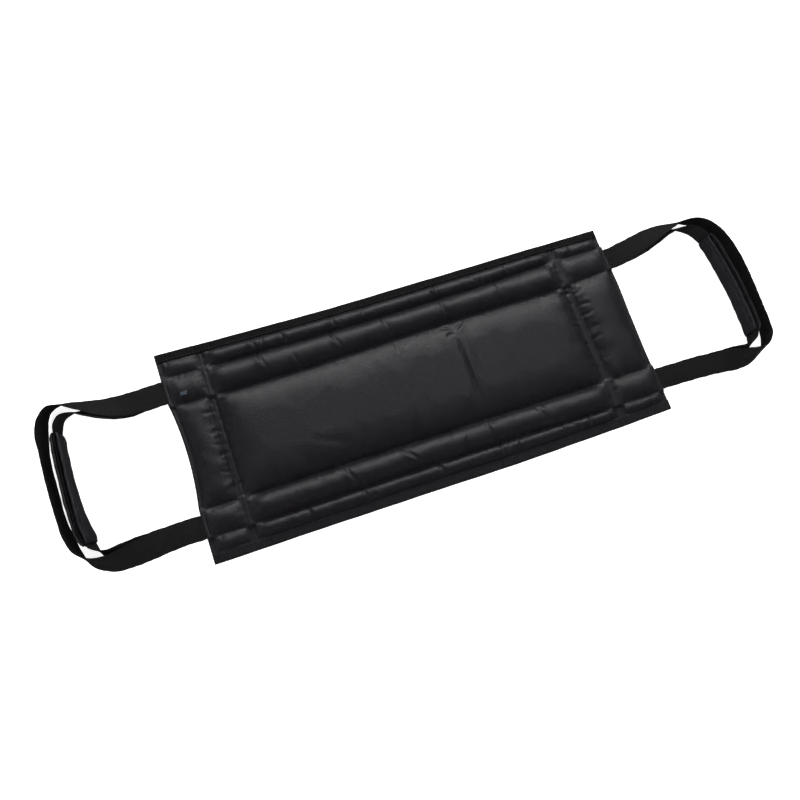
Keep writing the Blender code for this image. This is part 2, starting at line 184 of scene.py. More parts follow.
def piece_of(
    name: str,
    points: np.ndarray,
    faces: list[np.ndarray],
    material: bpy.types.Material,
    normals: np.ndarray | None = None,
    weave: np.ndarray | None = None,
) -> bpy.types.Object:
    """Make a smooth mesh object at the origin, and report it.

    Args:
        name: the piece's name.
        points: (n, 3) places in millimetres.
        faces: arrays of corner numbers, one row a face.
        material: its finish.
        normals: the shading normal of each point, for a piece cut from a larger surface.
        weave: (n, 2) place on the cloth, across and along, in metres.

    Returns:
        The object, linked to the scene.
    """
    mesh = bpy.data.meshes.new(name)
    mesh.vertices.add(len(points))
    mesh.vertices.foreach_set("co", (points * MM).astype(np.float32).ravel())
    corners = np.concatenate([part.ravel() for part in faces]).astype(np.int32)
    sizes = np.concatenate([np.full(len(part), part.shape[1]) for part in faces])
    mesh.loops.add(len(corners))
    mesh.loops.foreach_set("vertex_index", corners)
    mesh.polygons.add(len(sizes))
    mesh.polygons.foreach_set("loop_start", (np.cumsum(sizes) - sizes).astype(np.int32))
    mesh.update(calc_edges=True)
    mesh.shade_smooth()
    if weave is not None:
        layer = mesh.attributes.new("weave", "FLOAT_VECTOR", "POINT")
        place = np.column_stack([weave, np.zeros(len(weave))])
        layer.data.foreach_set("vector", place.astype(np.float32).ravel())
    if normals is not None:
        mesh.normals_split_custom_set_from_vertices(normals.tolist())
    mesh.materials.append(material)
    made = bpy.data.objects.new(name, mesh)
    bpy.context.scene.collection.objects.link(made)
    LOG.info("%s: %d points", name, len(points))
    return made


def quads(ids: np.ndarray) -> np.ndarray:
    """The quads of a grid of point numbers, facing along its first axis crossed with its second."""
    sides = (ids[:-1, :-1], ids[1:, :-1], ids[1:, 1:], ids[:-1, 1:])
    return np.stack(sides, axis=-1).reshape(-1, 4)


def outward(points: np.ndarray, faces: list[np.ndarray]) -> list[np.ndarray]:
    """Turn a closed shape's faces over if its signed volume is negative.

    The volume is the sum of a . (b x c) over the triangles of each face's fan.

    Args:
        points: (n, 3) places.
        faces: arrays of corner numbers, one row a face.

    Returns:
        The faces, pointing outwards.
    """
    total = 0.0
    for part in faces:
        for k in range(1, part.shape[1] - 1):
            a, b, c = points[part[:, 0]], points[part[:, k]], points[part[:, k + 1]]
            total += np.einsum("ij,ij->i", a, np.cross(b, c)).sum()
    return faces if total > 0 else [part[:, ::-1] for part in faces]


def shell_between(top: np.ndarray, bottom: np.ndarray) -> tuple[np.ndarray, list[np.ndarray]]:
    """Close the space between two grids of the same layout with a wall along each border.

    Args:
        top: (n, m, 3) upper surface.
        bottom: (n, m, 3) lower surface.

    Returns:
        The points, upper ones first, and the faces.
    """
    shape = top.shape[:2]
    upper = np.arange(top[..., 0].size).reshape(shape)
    lower = upper + upper.size
    faces = [quads(upper), quads(lower)[:, ::-1]]
    for flip, edge in ((1, np.s_[:, 0]), (-1, np.s_[:, -1]), (-1, np.s_[0, :]), (1, np.s_[-1, :])):
        wall = np.stack([upper[edge], lower[edge]], axis=1)
        faces.append(quads(wall)[:, ::-1][:, ::flip])
    points = np.concatenate([top.reshape(-1, 3), bottom.reshape(-1, 3)])
    return points, faces


def ring_normals(rings: np.ndarray) -> np.ndarray:
    """Work out the outward normals of a row of outlines.

    Each is the slope along the path crossed with the slope round the outline.

    Args:
        rings: (n, m, 3) outlines along the path.

    Returns:
        A normal for each point.
    """
    around = np.roll(rings, -1, axis=1) - np.roll(rings, 1, axis=1)
    normals = unit(np.cross(np.gradient(rings, axis=0), around))
    outwards = rings - rings.mean(axis=1, keepdims=True)
    return normals * np.sign((normals * outwards).sum())


def swept(rings: np.ndarray) -> tuple[np.ndarray, list[np.ndarray]]:
    """Skin a row of outlines, each given as one side forwards and the other side back.

    Args:
        rings: (n, 2m, 3) outlines along the path. Point a of the first side faces point
            2m - 1 - a, so that the end caps are strips of quads.

    Returns:
        The points and the faces of the closed shape, facing outwards.
    """
    count, around = rings.shape[:2]
    ids = np.arange(count * around).reshape(count, around)
    faces = [quads(np.concatenate([ids, ids[:, :1]], axis=1))]
    half = around // 2
    for ring, flip in ((ids[0], 1), (ids[-1], -1)):
        cap = np.stack([ring[:half], ring[: half - 1 : -1]], axis=1)
        faces.append(quads(cap)[:, ::flip])
    points = rings.reshape(-1, 3)
    return points, outward(points, faces)


# --------------------------------------------------------------------------- materials


def linear(hex_colour: str) -> tuple[float, float, float, float]:
    """Turn an sRGB hex colour into the linear colour that a shader takes.

    Args:
        hex_colour: such as #1a2b3c.

    Returns:
        Linear red, green and blue, and an alpha of 1.
    """
    parts = [int(hex_colour[k : k + 2], 16) / 255.0 for k in (1, 3, 5)]
    low = [c / 12.92 if c <= 0.04045 else ((c + 0.055) / 1.055) ** 2.4 for c in parts]
    return (low[0], low[1], low[2], 1.0)


def add(tree: bpy.types.NodeTree, kind: str, settings: dict, **inputs: object) -> bpy.types.Node:
    """Add a shader node.

    Args:
        tree: where it goes.
        kind: the node's type without its ShaderNode prefix.
        settings: the node's own properties.
        **inputs: socket names with _ for each space, each with a value or an output to link.

    Returns:
        The node.
    """
    made = tree.nodes.new("ShaderNode" + kind)
    for name, value in settings.items():
        setattr(made, name, value)
    for name, value in inputs.items():
        key = int(name[1:]) if name[1:].isdigit() else name.replace("_", " ")
        if isinstance(value, bpy.types.NodeSocket):
            tree.links.new(value, made.inputs[key])
        else:
            made.inputs[key].default_value = value
    return made


def bands(period_mm: float) -> float:
    """The Wave texture's scale for a period: one period is 2 pi over 20 scales."""
    return 2.0 * np.pi / (20.0 * period_mm * MM)


class Coordinates(Enum):
    """Where a woven finish reads its place on the cloth."""

    OBJECT = "object"
    WEAVE = "weave"


@dataclass(frozen=True)
class WovenFinish:
    """A woven cloth: two crossing sets of threads, with cloudy shine and colour.

    Attributes:
        name: the material's name.
        deep, light: sRGB colours between which its clouds drift.
        roughness: its middle roughness.
        drift: how far the roughness wanders either way.
        warp_mm, weft_mm: spacing of the threads across and along.
        relief_mm: height of the weave.
        lean: the angle in radians by which the weave is turned on the cloth, 0 for straight.
        specular: strength of the plain reflection.
        sheen: strength of the soft glow of loose fibres.
        coordinates: where its pattern is read.
    """

    name: str
    deep: str
    light: str
    roughness: float
    drift: float
    warp_mm: float
    weft_mm: float
    relief_mm: float
    lean: float = 0.0
    specular: float = 0.5
    sheen: float = 0.0
    coordinates: Coordinates = Coordinates.OBJECT

    def material(self) -> bpy.types.Material:
        """Make the material.

        Returns:
            A Principled material whose bump is the product of two wave patterns, one for each
            set of threads, with a coarser unevenness under it.
        """
        made = bpy.data.materials.new(self.name)
        made.use_nodes = True
        tree = made.node_tree
        tree.nodes.clear()
        if self.coordinates is Coordinates.WEAVE:
            place = add(tree, "Attribute", {"attribute_name": "weave"}).outputs["Vector"]
        else:
            place = add(tree, "TexCoord", {}).outputs["Object"]
        leaned = add(tree, "Mapping", {}, Vector=place, Rotation=(0.0, 0.0, self.lean)).outputs[0]
        threads = [
            add(
                tree, "TexWave", {"bands_direction": axis, "wave_profile": "SIN"},
                Vector=leaned, Scale=bands(period), Distortion=0.4, Detail=1.0, Detail_Scale=0.6,
            ).outputs["Fac"]
            for axis, period in (("X", self.warp_mm), ("Y", self.weft_mm))
        ]
        weave = add(tree, "Math", {"operation": "MULTIPLY"}, _0=threads[0], _1=threads[1]).outputs[0]
        clouds = add(tree, "TexNoise", {}, Vector=place, Scale=22.0, Detail=3.0, Roughness=0.6)
        slubs = add(tree, "TexNoise", {}, Vector=place, Scale=420.0, Detail=2.0, Roughness=0.55)
        grain = add(tree, "Math", {"operation": "MULTIPLY_ADD"}, _0=slubs.outputs[0], _1=2.6, _2=weave)
        relief = add(
            tree, "Bump", {}, Height=grain.outputs[0], Strength=0.8, Distance=self.relief_mm * MM
        )
        colour = add(
            tree, "Mix", {"data_type": "RGBA"}, Factor=clouds.outputs[0],
            _6=linear(self.deep), _7=linear(self.light),
        )
        shine = add(
            tree, "MapRange", {}, Value=slubs.outputs[0], _1=0.3, _2=0.7,
            _3=self.roughness - self.drift, _4=self.roughness + self.drift,
        )
        shader = add(
            tree, "BsdfPrincipled", {}, Base_Color=colour.outputs[2], Roughness=shine.outputs[0],
            Normal=relief.outputs[0], IOR=1.53, Specular_IOR_Level=self.specular,
            Sheen_Weight=self.sheen, Sheen_Roughness=0.4,
        )
        add(tree, "OutputMaterial", {}, Surface=shader.outputs[0])
        return made


# Coated nylon oxford: charcoal black, smooth enough for soft broad highlights. Its threads lie
# about 0.45 mm apart, and are drawn at 1.3 mm, as coarse as they need to be to show.
COVER_CLOTH = WovenFinish(
    "coated_nylon_oxford_woven", "#110f14", "#18161b", 0.43, 0.09, 1.3, 1.3, 0.15, sheen=0.02
)
# The same cloth, folded and handled, on the grips: a little glossier. Its threads are drawn at
# 0.9 mm, coarser than they are, so that they show.
SLEEVE_CLOTH = WovenFinish(
    "coated_nylon_folded_grip", "#141216", "#1b191e", 0.4, 0.06, 0.9, 0.9, 0.06,
    coordinates=Coordinates.WEAVE,
)
# Polypropylene webbing: matte black, with slanting ribs 1.6 mm apart that break up its shine.
WEBBING_CLOTH = WovenFinish(
    "polypropylene_webbing_woven", "#0f0f10", "#161618", 0.75, 0.06, 1.6, 2.2, 0.22, 0.5,
    specular=0.13, coordinates=Coordinates.WEAVE,
)
# Polyester grosgrain tape: dull black, ribbed across its width every 0.9 mm.
TAPE_CLOTH = WovenFinish(
    "polyester_grosgrain_tape", "#0c0c0d", "#111112", 0.75, 0.05, 0.9, 0.45, 0.12,
    specular=0.13, coordinates=Coordinates.WEAVE,
)
# The same tape along the lower edge, as a copy painted lighter and made a little glossier, so that it reads
# as lit where the upper tape reads as shaded.
PAINTED_LIT_TAPE = WovenFinish(
    "polyester_grosgrain_tape_rubbed", "#100f12", "#17151a", 0.6, 0.05, 0.9, 0.45, 0.1,
    specular=0.26, coordinates=Coordinates.WEAVE,
)
# Bonded nylon thread: black, with a slight wax shine and a twist of 0.3 mm.
THREAD = WovenFinish(
    "bonded_nylon_thread_twisted", "#131315", "#1c1c1f", 0.5, 0.05, 0.3, 0.3, 0.03
)
# A pale bluish-grey spun thread, for a small pale spot near the left end.
PALE_THREAD = WovenFinish(
    "pale_bluish_thread_spun", "#39444e", "#4c5761", 0.7, 0.05, 0.3, 0.3, 0.03
)


def studio_floor_material() -> bpy.types.Material:
    """White seamless paper: matte, with a glow that keeps it pale under the pad.

    Returns:
        The material.
    """
    made = bpy.data.materials.new("seamless_paper_matte")
    made.use_nodes = True
    shader = made.node_tree.nodes["Principled BSDF"]
    shader.inputs["Base Color"].default_value = linear("#f6f6f6")
    shader.inputs["Roughness"].default_value = 0.95
    shader.inputs["Specular IOR Level"].default_value = 0.1
    shader.inputs["Emission Color"].default_value = linear("#ffffff")
    shader.inputs["Emission Strength"].default_value = 0.85
    return made


# --------------------------------------------------------------------------- the pad's sections


@dataclass(frozen=True)
class Section:
    """A stretch of the pad around one fold.

    Attributes:
        name: its name in the CAD model.
        start, end: where it is cut from its neighbours, along X.
        bodies: the two bodies on either side of its fold; not used.
        bend: where it would start and stop turning from one body to the other; not used.
    """

    name: str
    start: float
    end: float
    bodies: tuple[str, str]
    bend: tuple[float, float]

    def hang(self, piece: bpy.types.Object) -> None:
        """Bake a finished piece's placement into its mesh."""
        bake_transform(piece)


SECTIONS = (
    Section("left_end", -263.0, -204.5, ("pad_left_end", "pad_main"), (-221.5, -204.5)),
    Section("main", -204.5, 54.0, ("pad_main", "pad_right"), (46.0, 70.0)),
    Section("right", 54.0, 188.5, ("pad_main", "pad_right"), (46.0, 70.0)),
    Section("right_end", 188.5, 263.0, ("pad_right", "pad_right_end"), (188.5, 205.5)),
)


@dataclass(frozen=True)
class Pucker:
    """A crease in the cloth: a valley along a short line, with a low ridge on either side.

    Attributes:
        x, y: where it starts.
        dx, dy: how far it runs.
        depth: depth of its valley.
        width: half-width of its valley.
    """

    x: float
    y: float
    dx: float
    dy: float
    depth: float
    width: float = 2.0

    def height(self, x: np.ndarray, y: np.ndarray) -> np.ndarray:
        """Read the change in height at some places.

        Across the crease it is a Gaussian valley between a high Gaussian ridge and a low one.
        The crease bows as a parabola, and fades to its ends as a sine to the power 0.8.

        Args:
            x, y: the places.

        Returns:
            The height to add at each.
        """
        length = np.hypot(self.dx, self.dy)
        along_x, along_y = self.dx / length, self.dy / length
        along = ((x - self.x) * along_x + (y - self.y) * along_y) / length
        sway = 1.0 if int(abs(self.x) * 3 + abs(self.y)) % 2 else -1.0
        off = (x - self.x) * along_y - (y - self.y) * along_x
        off = off + sway * (3.4 * (along - 0.5) ** 2 - 0.5)
        fade = np.sin(np.pi * np.clip(0.15 + 0.85 * along, 0.0, 1.0)) ** 0.8
        ridge, ridge_place = 1.2 * self.width, sway * 1.9 * self.width
        shape = (
            -bell(off, self.width)
            + 0.55 * bell(off - ridge_place, 1.3 * ridge)
            + 0.15 * bell(off + ridge_place, ridge)
        )
        return self.depth * fade * shape


# The channels from the lower edge up, by number: tape, edge, strap, centre, strap, edge, tape.
CENTRE = 3

# Creases of the one sling that this is, beside the small ones that every seam has.
PUCKERS = (
    Pucker(-162, 101, 4, -14, 1.76), Pucker(-150, 100, -3, -12, 1.35), Pucker(-131, 101, 5, -15, 1.89),
    Pucker(-72, 101, 3, -14, 1.62), Pucker(-33, 102, -4, -14, 1.49), Pucker(139, 104, 4, -13, 1.49),
    Pucker(52, 103, 2, -16, 1.76), Pucker(47, 86, -4, 14, 1.22), Pucker(96, 103, 5, -12, 0.94),
    Pucker(-160, 83, 5, -20, 1.49), Pucker(-78, 83, 7, -21, 1.76), Pucker(51, 84, 3, -24, 1.62),
    Pucker(-118, 54, -6, 18, 1.08), Pucker(-20, 83, 6, -17, 1.08), Pucker(120, 87, 5, -20, 1.22),
    Pucker(-110, -65, 9, -22, 1.76), Pucker(-45, -66, 13, -17, 1.89), Pucker(50, -66, 3, -22, 1.49),
    Pucker(20, -90, 6, 18, 1.08), Pucker(110, -66, 7, -18, 1.22), Pucker(-170, -89, 6, 18, 1.08),
    Pucker(-160, -92, 3, -14, 1.62), Pucker(-100, -92, 3, -14, 1.62), Pucker(-88, -106, -2, 13, 1.35),
    Pucker(-14, -92, 4, -14, 1.62), Pucker(58, -93, 3, -14, 1.76), Pucker(82, -93, -4, -14, 1.62),
    Pucker(133, -94, 5, -13, 1.76), Pucker(165, -94, 4, -13, 1.62), Pucker(150, -107, -4, 12, 1.22),
    Pucker(-130, -28, 40, -17, 0.55, 4.0), Pucker(-14, 52, 0, -17, 0.94), Pucker(-26, -62, 0, 20, 0.81),
    Pucker(-230, 47, 12, -2, 1.01), Pucker(-232, 35, 14, 1, 1.08), Pucker(-230, 12, 12, 1, 0.94),
    Pucker(-231, 0, 13, -1, 0.86), Pucker(-229, -13, 12, 2, 0.86), Pucker(-231, -30, 13, -2, 0.79),
    Pucker(-216, 42, 12, 3, 1.15), Pucker(-216, 26, 12, -2, 1.08), Pucker(-216, 9, 10, 2, 0.79),
    Pucker(-216, -22, 11, 3, 0.86), Pucker(-217, -46, 12, 6, 0.94), Pucker(-232, -50, 14, 4, 0.79),
    Pucker(193, 49, 14, -2, 1.08), Pucker(208, 45, 12, 3, 1.15), Pucker(192, 34, 12, 1, 0.86),
    Pucker(208, 30, 14, -2, 1.08), Pucker(208, 17, 12, 2, 1.01), Pucker(191, 14, 12, -2, 0.72),
    Pucker(208, 2, 13, -2, 0.94), Pucker(208, -12, 12, 1, 0.86), Pucker(192, -18, 11, 2, 0.65),
    Pucker(208, -34, 11, 1, 0.58), Pucker(192, -45, 12, -1, 0.65), Pucker(42, 50, 12, -4, 1.62),
    Pucker(44, 38, 10, 1, 1.22), Pucker(66, 50, -12, -8, 1.35),
)


@dataclass
class QuiltedPad:
    """The quilted pad: its covers, edge tapes and stitching.

    The pad is a grid of columns across its length and rows along its eight lengthwise lines:
    the lower edge, the six seams and the upper edge.

    Attributes:
        lines: (x, y) knots of the eight lines.
        cells_across: grid cells between each line and the next.
        marks: places along X that have a column of their own.
        cell: the wanted length of the other cells.
        half_length: from the middle to either end.
        crowns, end_crowns: full height of each channel, and of its ends beyond the cross seams.
        channel_slack: how loose the cloth is in each channel.
        sewn_heights: height of each channel where it is sewn through across the pad.
        seam_height: height of the lengthwise seams.
        underside_seam, underside: height of the underside at a seam, and under a channel.
        seam_ramp, end_ramp: how far the long crowns and the end ones take to rise.
        cross_seams: the two rows of each double seam across the pad.
        hem_stitch: from either end to the row that holds its hem.
        end_round: radius of the ends.
        middle_seam, middle_ghost: the panel join, and the row beside it.
        join_span, ghost_span: where those two rows start and stop along Y.
        x, y, top, bottom: the grid, once it is built.
        columns: place of each column along X, before its ends are bowed.
        seam_rows: grid row of each of the six seams.
    """

    lines: tuple[Knots, ...] = (
        ((-263, -116.2), (-100, -117.0), (100, -118.6), (263, -116.2)),
        ((-263, -107.0), (0, -107.6), (100, -108.4), (263, -106.6)),
        ((-263, -90.0), (0, -91.5), (100, -92.5), (190, -94.0), (263, -94.0)),
        ((-263, -61.0), (0, -62.5), (100, -63.5), (190, -64.5), (263, -64.0)),
        ((-263, 53.0), (-100, 52.5), (0, 55.5), (100, 57.0), (200, 57.2), (263, 62.0)),
        ((-263, 85.0), (0, 84.0), (100, 86.0), (190, 90.0), (263, 91.0)),
        ((-263, 104.0), (-100, 101.5), (0, 102.0), (100, 104.0), (200, 105.5), (263, 105.0)),
        ((-263, 113.0), (-100, 110.5), (100, 112.5), (263, 114.5)),
    )
    cells_across: tuple[int, ...] = (3, 6, 11, 46, 12, 7, 4)
    marks: tuple[float, ...] = (
        -263.0, -262.5, -261.2, -258.5, -221.0, -216.0, -204.5, 54.0, 188.5,
        200.0, 207.5, 258.5, 261.2, 262.5, 263.0,
    )
    cell: float = 2.6
    half_length: float = 263.0
    crowns: tuple[float, ...] = (0.0, 10.8, 15.0, 14.0, 15.0, 10.8, 0.0)
    end_crowns: tuple[float, ...] = (0.0, 8.6, 10.6, 10.8, 10.6, 8.6, 0.0)
    channel_slack: tuple[float, ...] = (0.0, 0.7, 0.55, 0.07, 0.5, 0.7, 0.0)
    sewn_heights: tuple[float, ...] = (3.6, 3.6, 6.9, 4.4, 6.9, 3.6, 3.6)
    seam_height: float = 4.2
    underside_seam: float = 1.4
    underside: float = 0.12
    seam_ramp: float = 15.0
    end_ramp: float = 11.0
    cross_seams: tuple[tuple[float, float], ...] = ((-221.0, -216.0), (200.0, 207.5))
    hem_stitch: float = 4.5
    end_round: float = 2.6
    middle_seam: float = 54.0
    middle_ghost: float = 64.5
    join_span: tuple[float, float] = (-50.0, 42.0)
    ghost_span: tuple[float, float] = (-18.0, 48.0)
    x: np.ndarray = field(init=False)
    y: np.ndarray = field(init=False)
    top: np.ndarray = field(init=False)
    bottom: np.ndarray = field(init=False)
    columns: np.ndarray = field(init=False)
    seam_rows: list[int] = field(init=False)

    def lay_out(self) -> tuple[np.ndarray, np.ndarray, np.ndarray]:
        """Place the grid, and blow it up by formula.

        A channel's crown falls to its seams as 1 - t^2, or as (1 - t^6)^0.8 in the wide
        centre, where t runs from -1 to 1 across it. Along the pad it rises from each cross seam
        and hem as a quarter sine.

        Returns:
            The stitched-down height, the full height, and the channel number of each point.
        """
        parts = [np.array(self.marks[:1])]
        for low, high in zip(self.marks, self.marks[1:]):
            count = max(1, round((high - low) / self.cell))
            parts.append(low + (high - low) * np.arange(1, count + 1) / count)
        self.columns = np.concatenate(parts)
        u = self.columns[:, None]
        edges = [curve_through(line, u) for line in self.lines]
        y, share, channel = [], [], []
        for k, count in enumerate(self.cells_across):
            t = np.arange(count)[None, :] / count
            y.append(edges[k] + (edges[k + 1] - edges[k]) * t)
            share.append(np.broadcast_to(2.0 * t - 1.0, y[-1].shape))
            channel.append(np.full(y[-1].shape, k))
        y.append(edges[-1])
        share.append(np.ones_like(edges[-1]))
        channel.append(np.full(edges[-1].shape, len(self.cells_across) - 1))
        self.y, t, channel = (np.concatenate(part, axis=1) for part in (y, share, channel))
        self.x = u + self.bow(u)
        self.seam_rows = np.cumsum(self.cells_across)[:-1].tolist()

        centre = channel == CENTRE
        profile = np.where(centre, np.abs(1 - t**6) ** 0.8, np.abs(1 - t**2))
        profile[:, [0, *self.seam_rows, -1]] = 0.0
        (l0, l1), (r0, r1) = self.cross_seams
        hem = self.half_length - self.hem_stitch
        middle = between(u, l1, r0, self.seam_ramp, 1.0)
        left, right = between(u, -hem, l0, self.end_ramp), between(u, r1, hem, self.end_ramp)
        sewn = 1.0 - np.maximum.reduce([middle, left, right]) ** 0.5
        stack = np.take(np.array(self.sewn_heights), channel)
        for row in self.seam_rows:
            stack[:, row] = np.maximum(stack[:, row - 1], stack[:, row + 1])
        base = self.seam_height + (stack - self.seam_height) * sewn
        full, ends = (np.take(np.array(heights), channel) for heights in (self.crowns, self.end_crowns))
        crown = full * middle + ends * (left + right)
        crown = np.maximum(crown - base * (middle + left + right), 0.0)
        crease = bell(u - self.middle_seam, 1.5) * np.clip(1 - ((self.y + 5) / 52) ** 8, 0, 1)
        ghost = bell(u - self.middle_ghost, 1.6) * np.clip(1 - ((self.y - 16) / 36) ** 8, 0, 1)
        crown = crown * (1 - (0.26 * crease + 0.06 * ghost) * centre)
        return base, base + crown * profile, channel

    def bow(self, u: np.ndarray) -> np.ndarray:
        """How far the grid's columns lean along X.

        Each end bows from its full straight line over a quarter sine: the left one inwards, as a
        parabola, and the right one by two Gaussians. The right cross seam slants with y.

        Args:
            u: place of each column along X.

        Returns:
            The shift of each point.
        """
        start, run = 222.0, 36.0
        left = 4.6 * np.clip(1.0 - (self.y / 58.0) ** 2, 0.0, 1.0) - 1.0
        right = 1.4 + 1.8 * bell(self.y - 45.0, 32.0) - bell(self.y + 50.0, 30.0)
        slant = -0.011 * self.y * bell(u - 204.0, 22.0)
        return left * rise(-start - u, run) + right * rise(u - start, run) + slant

    def slack(self, channel: np.ndarray, rng: np.random.Generator) -> np.ndarray:
        """Work out how loose the cloth is.

        It is most in the narrow channels, and as Gaussians beside the cross seams, by the panel
        join and where a known crease lies. A blurred noise makes it patchy.

        Args:
            channel: the channel number of each point.
            rng: the source of the noise.

        Returns:
            The looseness of each point, from 0 to 1.
        """
        loose = np.take(np.array(self.channel_slack), channel)
        near = np.zeros_like(self.x)
        for line in (*self.cross_seams[0], *self.cross_seams[1]):
            near = np.maximum(near, 0.45 * bell(self.x - line, 13.0))
        join = 0.5 * bell(self.x - self.middle_seam, 8.0) * bell(self.y - 30.0, 30.0)
        loose = np.where(channel == CENTRE, np.maximum(loose, np.maximum(near, join)), loose)
        for p in PUCKERS:
            spot = bell(self.x - p.x - p.dx / 2, 7.0) * bell(self.y - p.y - p.dy / 2, 9.0)
            loose = np.maximum(loose, spot)
        patchy = blurred(rng.normal(size=loose.shape), 6)
        return np.clip(loose * (0.8 + 0.25 * patchy / patchy.std()), 0.0, 1.0)

    def inflate(self) -> None:
        """Blow the top cover up between its seams as cloth, held by its stitches.

        The seams are pinned. The foam under the cloth is a soft pin that pulls each point to its
        place in the formula's shape, the slack cloth is longer than the space it is sewn to, and
        a pressure keeps it lifted.
        """
        least_rise, ripple_height, most_lift = 0.4, 0.5, 3.0
        base, height, channel = self.lay_out()
        rng = np.random.default_rng(7)
        ripple = blurred(rng.normal(size=height.shape), 5)
        free = height > base + least_rise
        start = height + ripple_height * ripple / ripple.std() * free
        self.top = np.stack([self.x, self.y, start], axis=-1)
        loose = self.slack(channel, rng)
        self.top = self.simulate(~free, loose)
        hold = free[..., None].astype(float)
        for _ in range(2):
            self.top += (blurred(self.top, 1) - self.top) * hold
        self.top[..., 2] = np.minimum(self.top[..., 2], height + most_lift)
        for axis in (0, 1):
            self.top = halved(self.top, axis)
            base, height = halved(base, axis), halved(height, axis)
        self.columns = halved(self.columns, 0)
        self.seam_rows = [2 * row for row in self.seam_rows]
        self.crumple(rng)
        self.finish_shell(base)

    def simulate(self, pinned: np.ndarray, loose: np.ndarray) -> np.ndarray:
        """Run the cloth.

        Args:
            pinned: which points are stitched down.
            loose: how slack the cloth is, from 0 to 1.

        Returns:
            The grid's points after the run, in millimetres.
        """
        sewn_hold, foam_hold, levels, last = 1.0, 0.3, 40, 30
        shape = self.top.shape[:2]
        ids = np.arange(self.top[..., 0].size).reshape(shape)
        cloth = piece_of("cloth_trial", self.top.reshape(-1, 3), [quads(ids)], COVER_CLOTH.material())
        grip, surplus = (cloth.vertex_groups.new(name=name) for name in ("grip", "surplus"))
        grip.add(ids[pinned].tolist(), sewn_hold, "REPLACE")
        grip.add(ids[~pinned].tolist(), foam_hold, "REPLACE")
        stepped = np.round(loose.ravel() * levels).astype(int)
        for level in np.unique(stepped):
            surplus.add(np.flatnonzero(stepped == level).tolist(), level / levels, "REPLACE")
        run = cloth.modifiers.new("cloth", "CLOTH")
        values = {
            "vertex_group_mass": "grip", "vertex_group_shrink": "surplus", "shrink_max": -0.15,
            "pin_stiffness": 1.0, "quality": 6, "mass": 0.05, "tension_stiffness": 30.0,
            "compression_stiffness": 30.0, "shear_stiffness": 5.0, "bending_stiffness": 20.0,
            "use_pressure": True, "uniform_pressure_force": 1700.0,
        }
        for key, value in values.items():
            setattr(run.settings, key, value)
        run.settings.effector_weights.gravity = 0.0
        run.collision_settings.use_collision = False
        run.point_cache.frame_end = last
        for frame_number in range(1, last + 1):
            bpy.context.scene.frame_set(frame_number)
        held = cloth.evaluated_get(bpy.context.evaluated_depsgraph_get())
        result = np.empty(ids.size * 3, np.float32)
        held.data.vertices.foreach_get("co", result)
        bpy.context.scene.frame_set(1)
        trial = cloth.data
        bpy.data.objects.remove(cloth)
        bpy.data.meshes.remove(trial)
        return result.reshape(*shape, 3).astype(float) / MM

    def crumple(self, rng: np.random.Generator) -> None:
        """Press creases into the top.

        There are the known ones, and a random small one every few millimetres along each seam,
        to one side or the other, and outwards along each row of the cross seams.

        Args:
            rng: the source of the small ones.
        """
        seam_end, seam_pitch, cross_pitch = 254.0, 7.5, 11.0
        small = []
        for row in self.seam_rows:
            for x in np.arange(-seam_end, seam_end, seam_pitch):
                at = x + rng.uniform(-3.0, 3.0)
                y = self.top[np.searchsorted(self.columns, at), row, 1]
                reach = rng.choice((-1.0, 1.0)) * rng.uniform(5.0, 9.5)
                lean, deep, wide = rng.uniform(-3, 3), rng.uniform(0.25, 0.75), rng.uniform(1.2, 2.0)
                small.append(Pucker(at, y, lean, reach, deep, wide))
        for pair, depth in zip(self.cross_seams, (0.7, 0.8)):
            for line, way in zip(pair, (-1.0, 1.0)):
                for y in np.arange(-104.0, 102.0, cross_pitch):
                    reach = way * rng.uniform(4.0, 13.0)
                    at = y + rng.uniform(-5.0, 5.0)
                    deep, wide = depth * rng.uniform(0.25, 0.9), rng.uniform(1.2, 2.8)
                    small.append(Pucker(line, at, reach, rng.uniform(-4.5, 4.5), deep, wide))
        for p in (*PUCKERS, *small):
            margin = 4.0 * p.width + 3.0
            low_x, high_x = sorted((p.x, p.x + p.dx))
            low_y, high_y = sorted((p.y, p.y + p.dy))
            i = slice(*np.searchsorted(self.columns, (low_x - margin, high_x + margin)))
            rows = self.top[(i.start + i.stop) // 2, :, 1]
            j = slice(*np.searchsorted(rows, (low_y - margin, high_y + margin)))
            patch = self.top[i, j]
            patch[..., 2] += p.height(patch[..., 0], patch[..., 1])

    def finish_shell(self, base: np.ndarray) -> None:
        """Round the two ends off, and make the underside.

        The underside lies flat on the table under each channel and lifts to its seams as the
        top comes down to its own. The rows of the cross seams and hems are Gaussian grooves,
        with low Gaussian ridges beside them. The ends are rounded as a quarter circle.

        Args:
            base: height at which each point would be sewn down.
        """
        least_thickness, least_edge = 1.6, 0.08
        z = self.top[..., 2]
        u = self.columns[:, None]
        for low, high in self.cross_seams:
            z += 0.5 * bell(u - (low + high) / 2, 1.3) + 0.3 * bell(u - low + 2.2, 1.2)
            z += 0.3 * bell(u - high - 2.2, 1.2) - 0.5 * (bell(u - low, 0.9) + bell(u - high, 0.9))
        z -= 1.3 * bell(self.half_length - self.hem_stitch - np.abs(u), 0.9)
        z[:] = np.maximum(z, self.underside_seam + least_thickness)
        lift = np.clip((z - base) / 3.0, 0.0, 1.0)
        under = self.underside + (self.underside_seam - self.underside) * (1.0 - lift) ** 1.5
        d = np.clip((self.half_length - np.abs(u)) / self.end_round, 0.0, 1.0)
        edge = np.maximum(np.sqrt(1.0 - (1.0 - d) ** 2), least_edge)
        middle = (z + under) / 2
        self.bottom = self.top.copy()
        self.bottom[..., 2] = middle + (under - middle) * edge
        self.top[..., 2] = middle + (z - middle) * edge

    def nearest(self, x: float) -> int:
        """The grid column nearest to a place along X."""
        return int(np.argmin(np.abs(self.columns - x)))

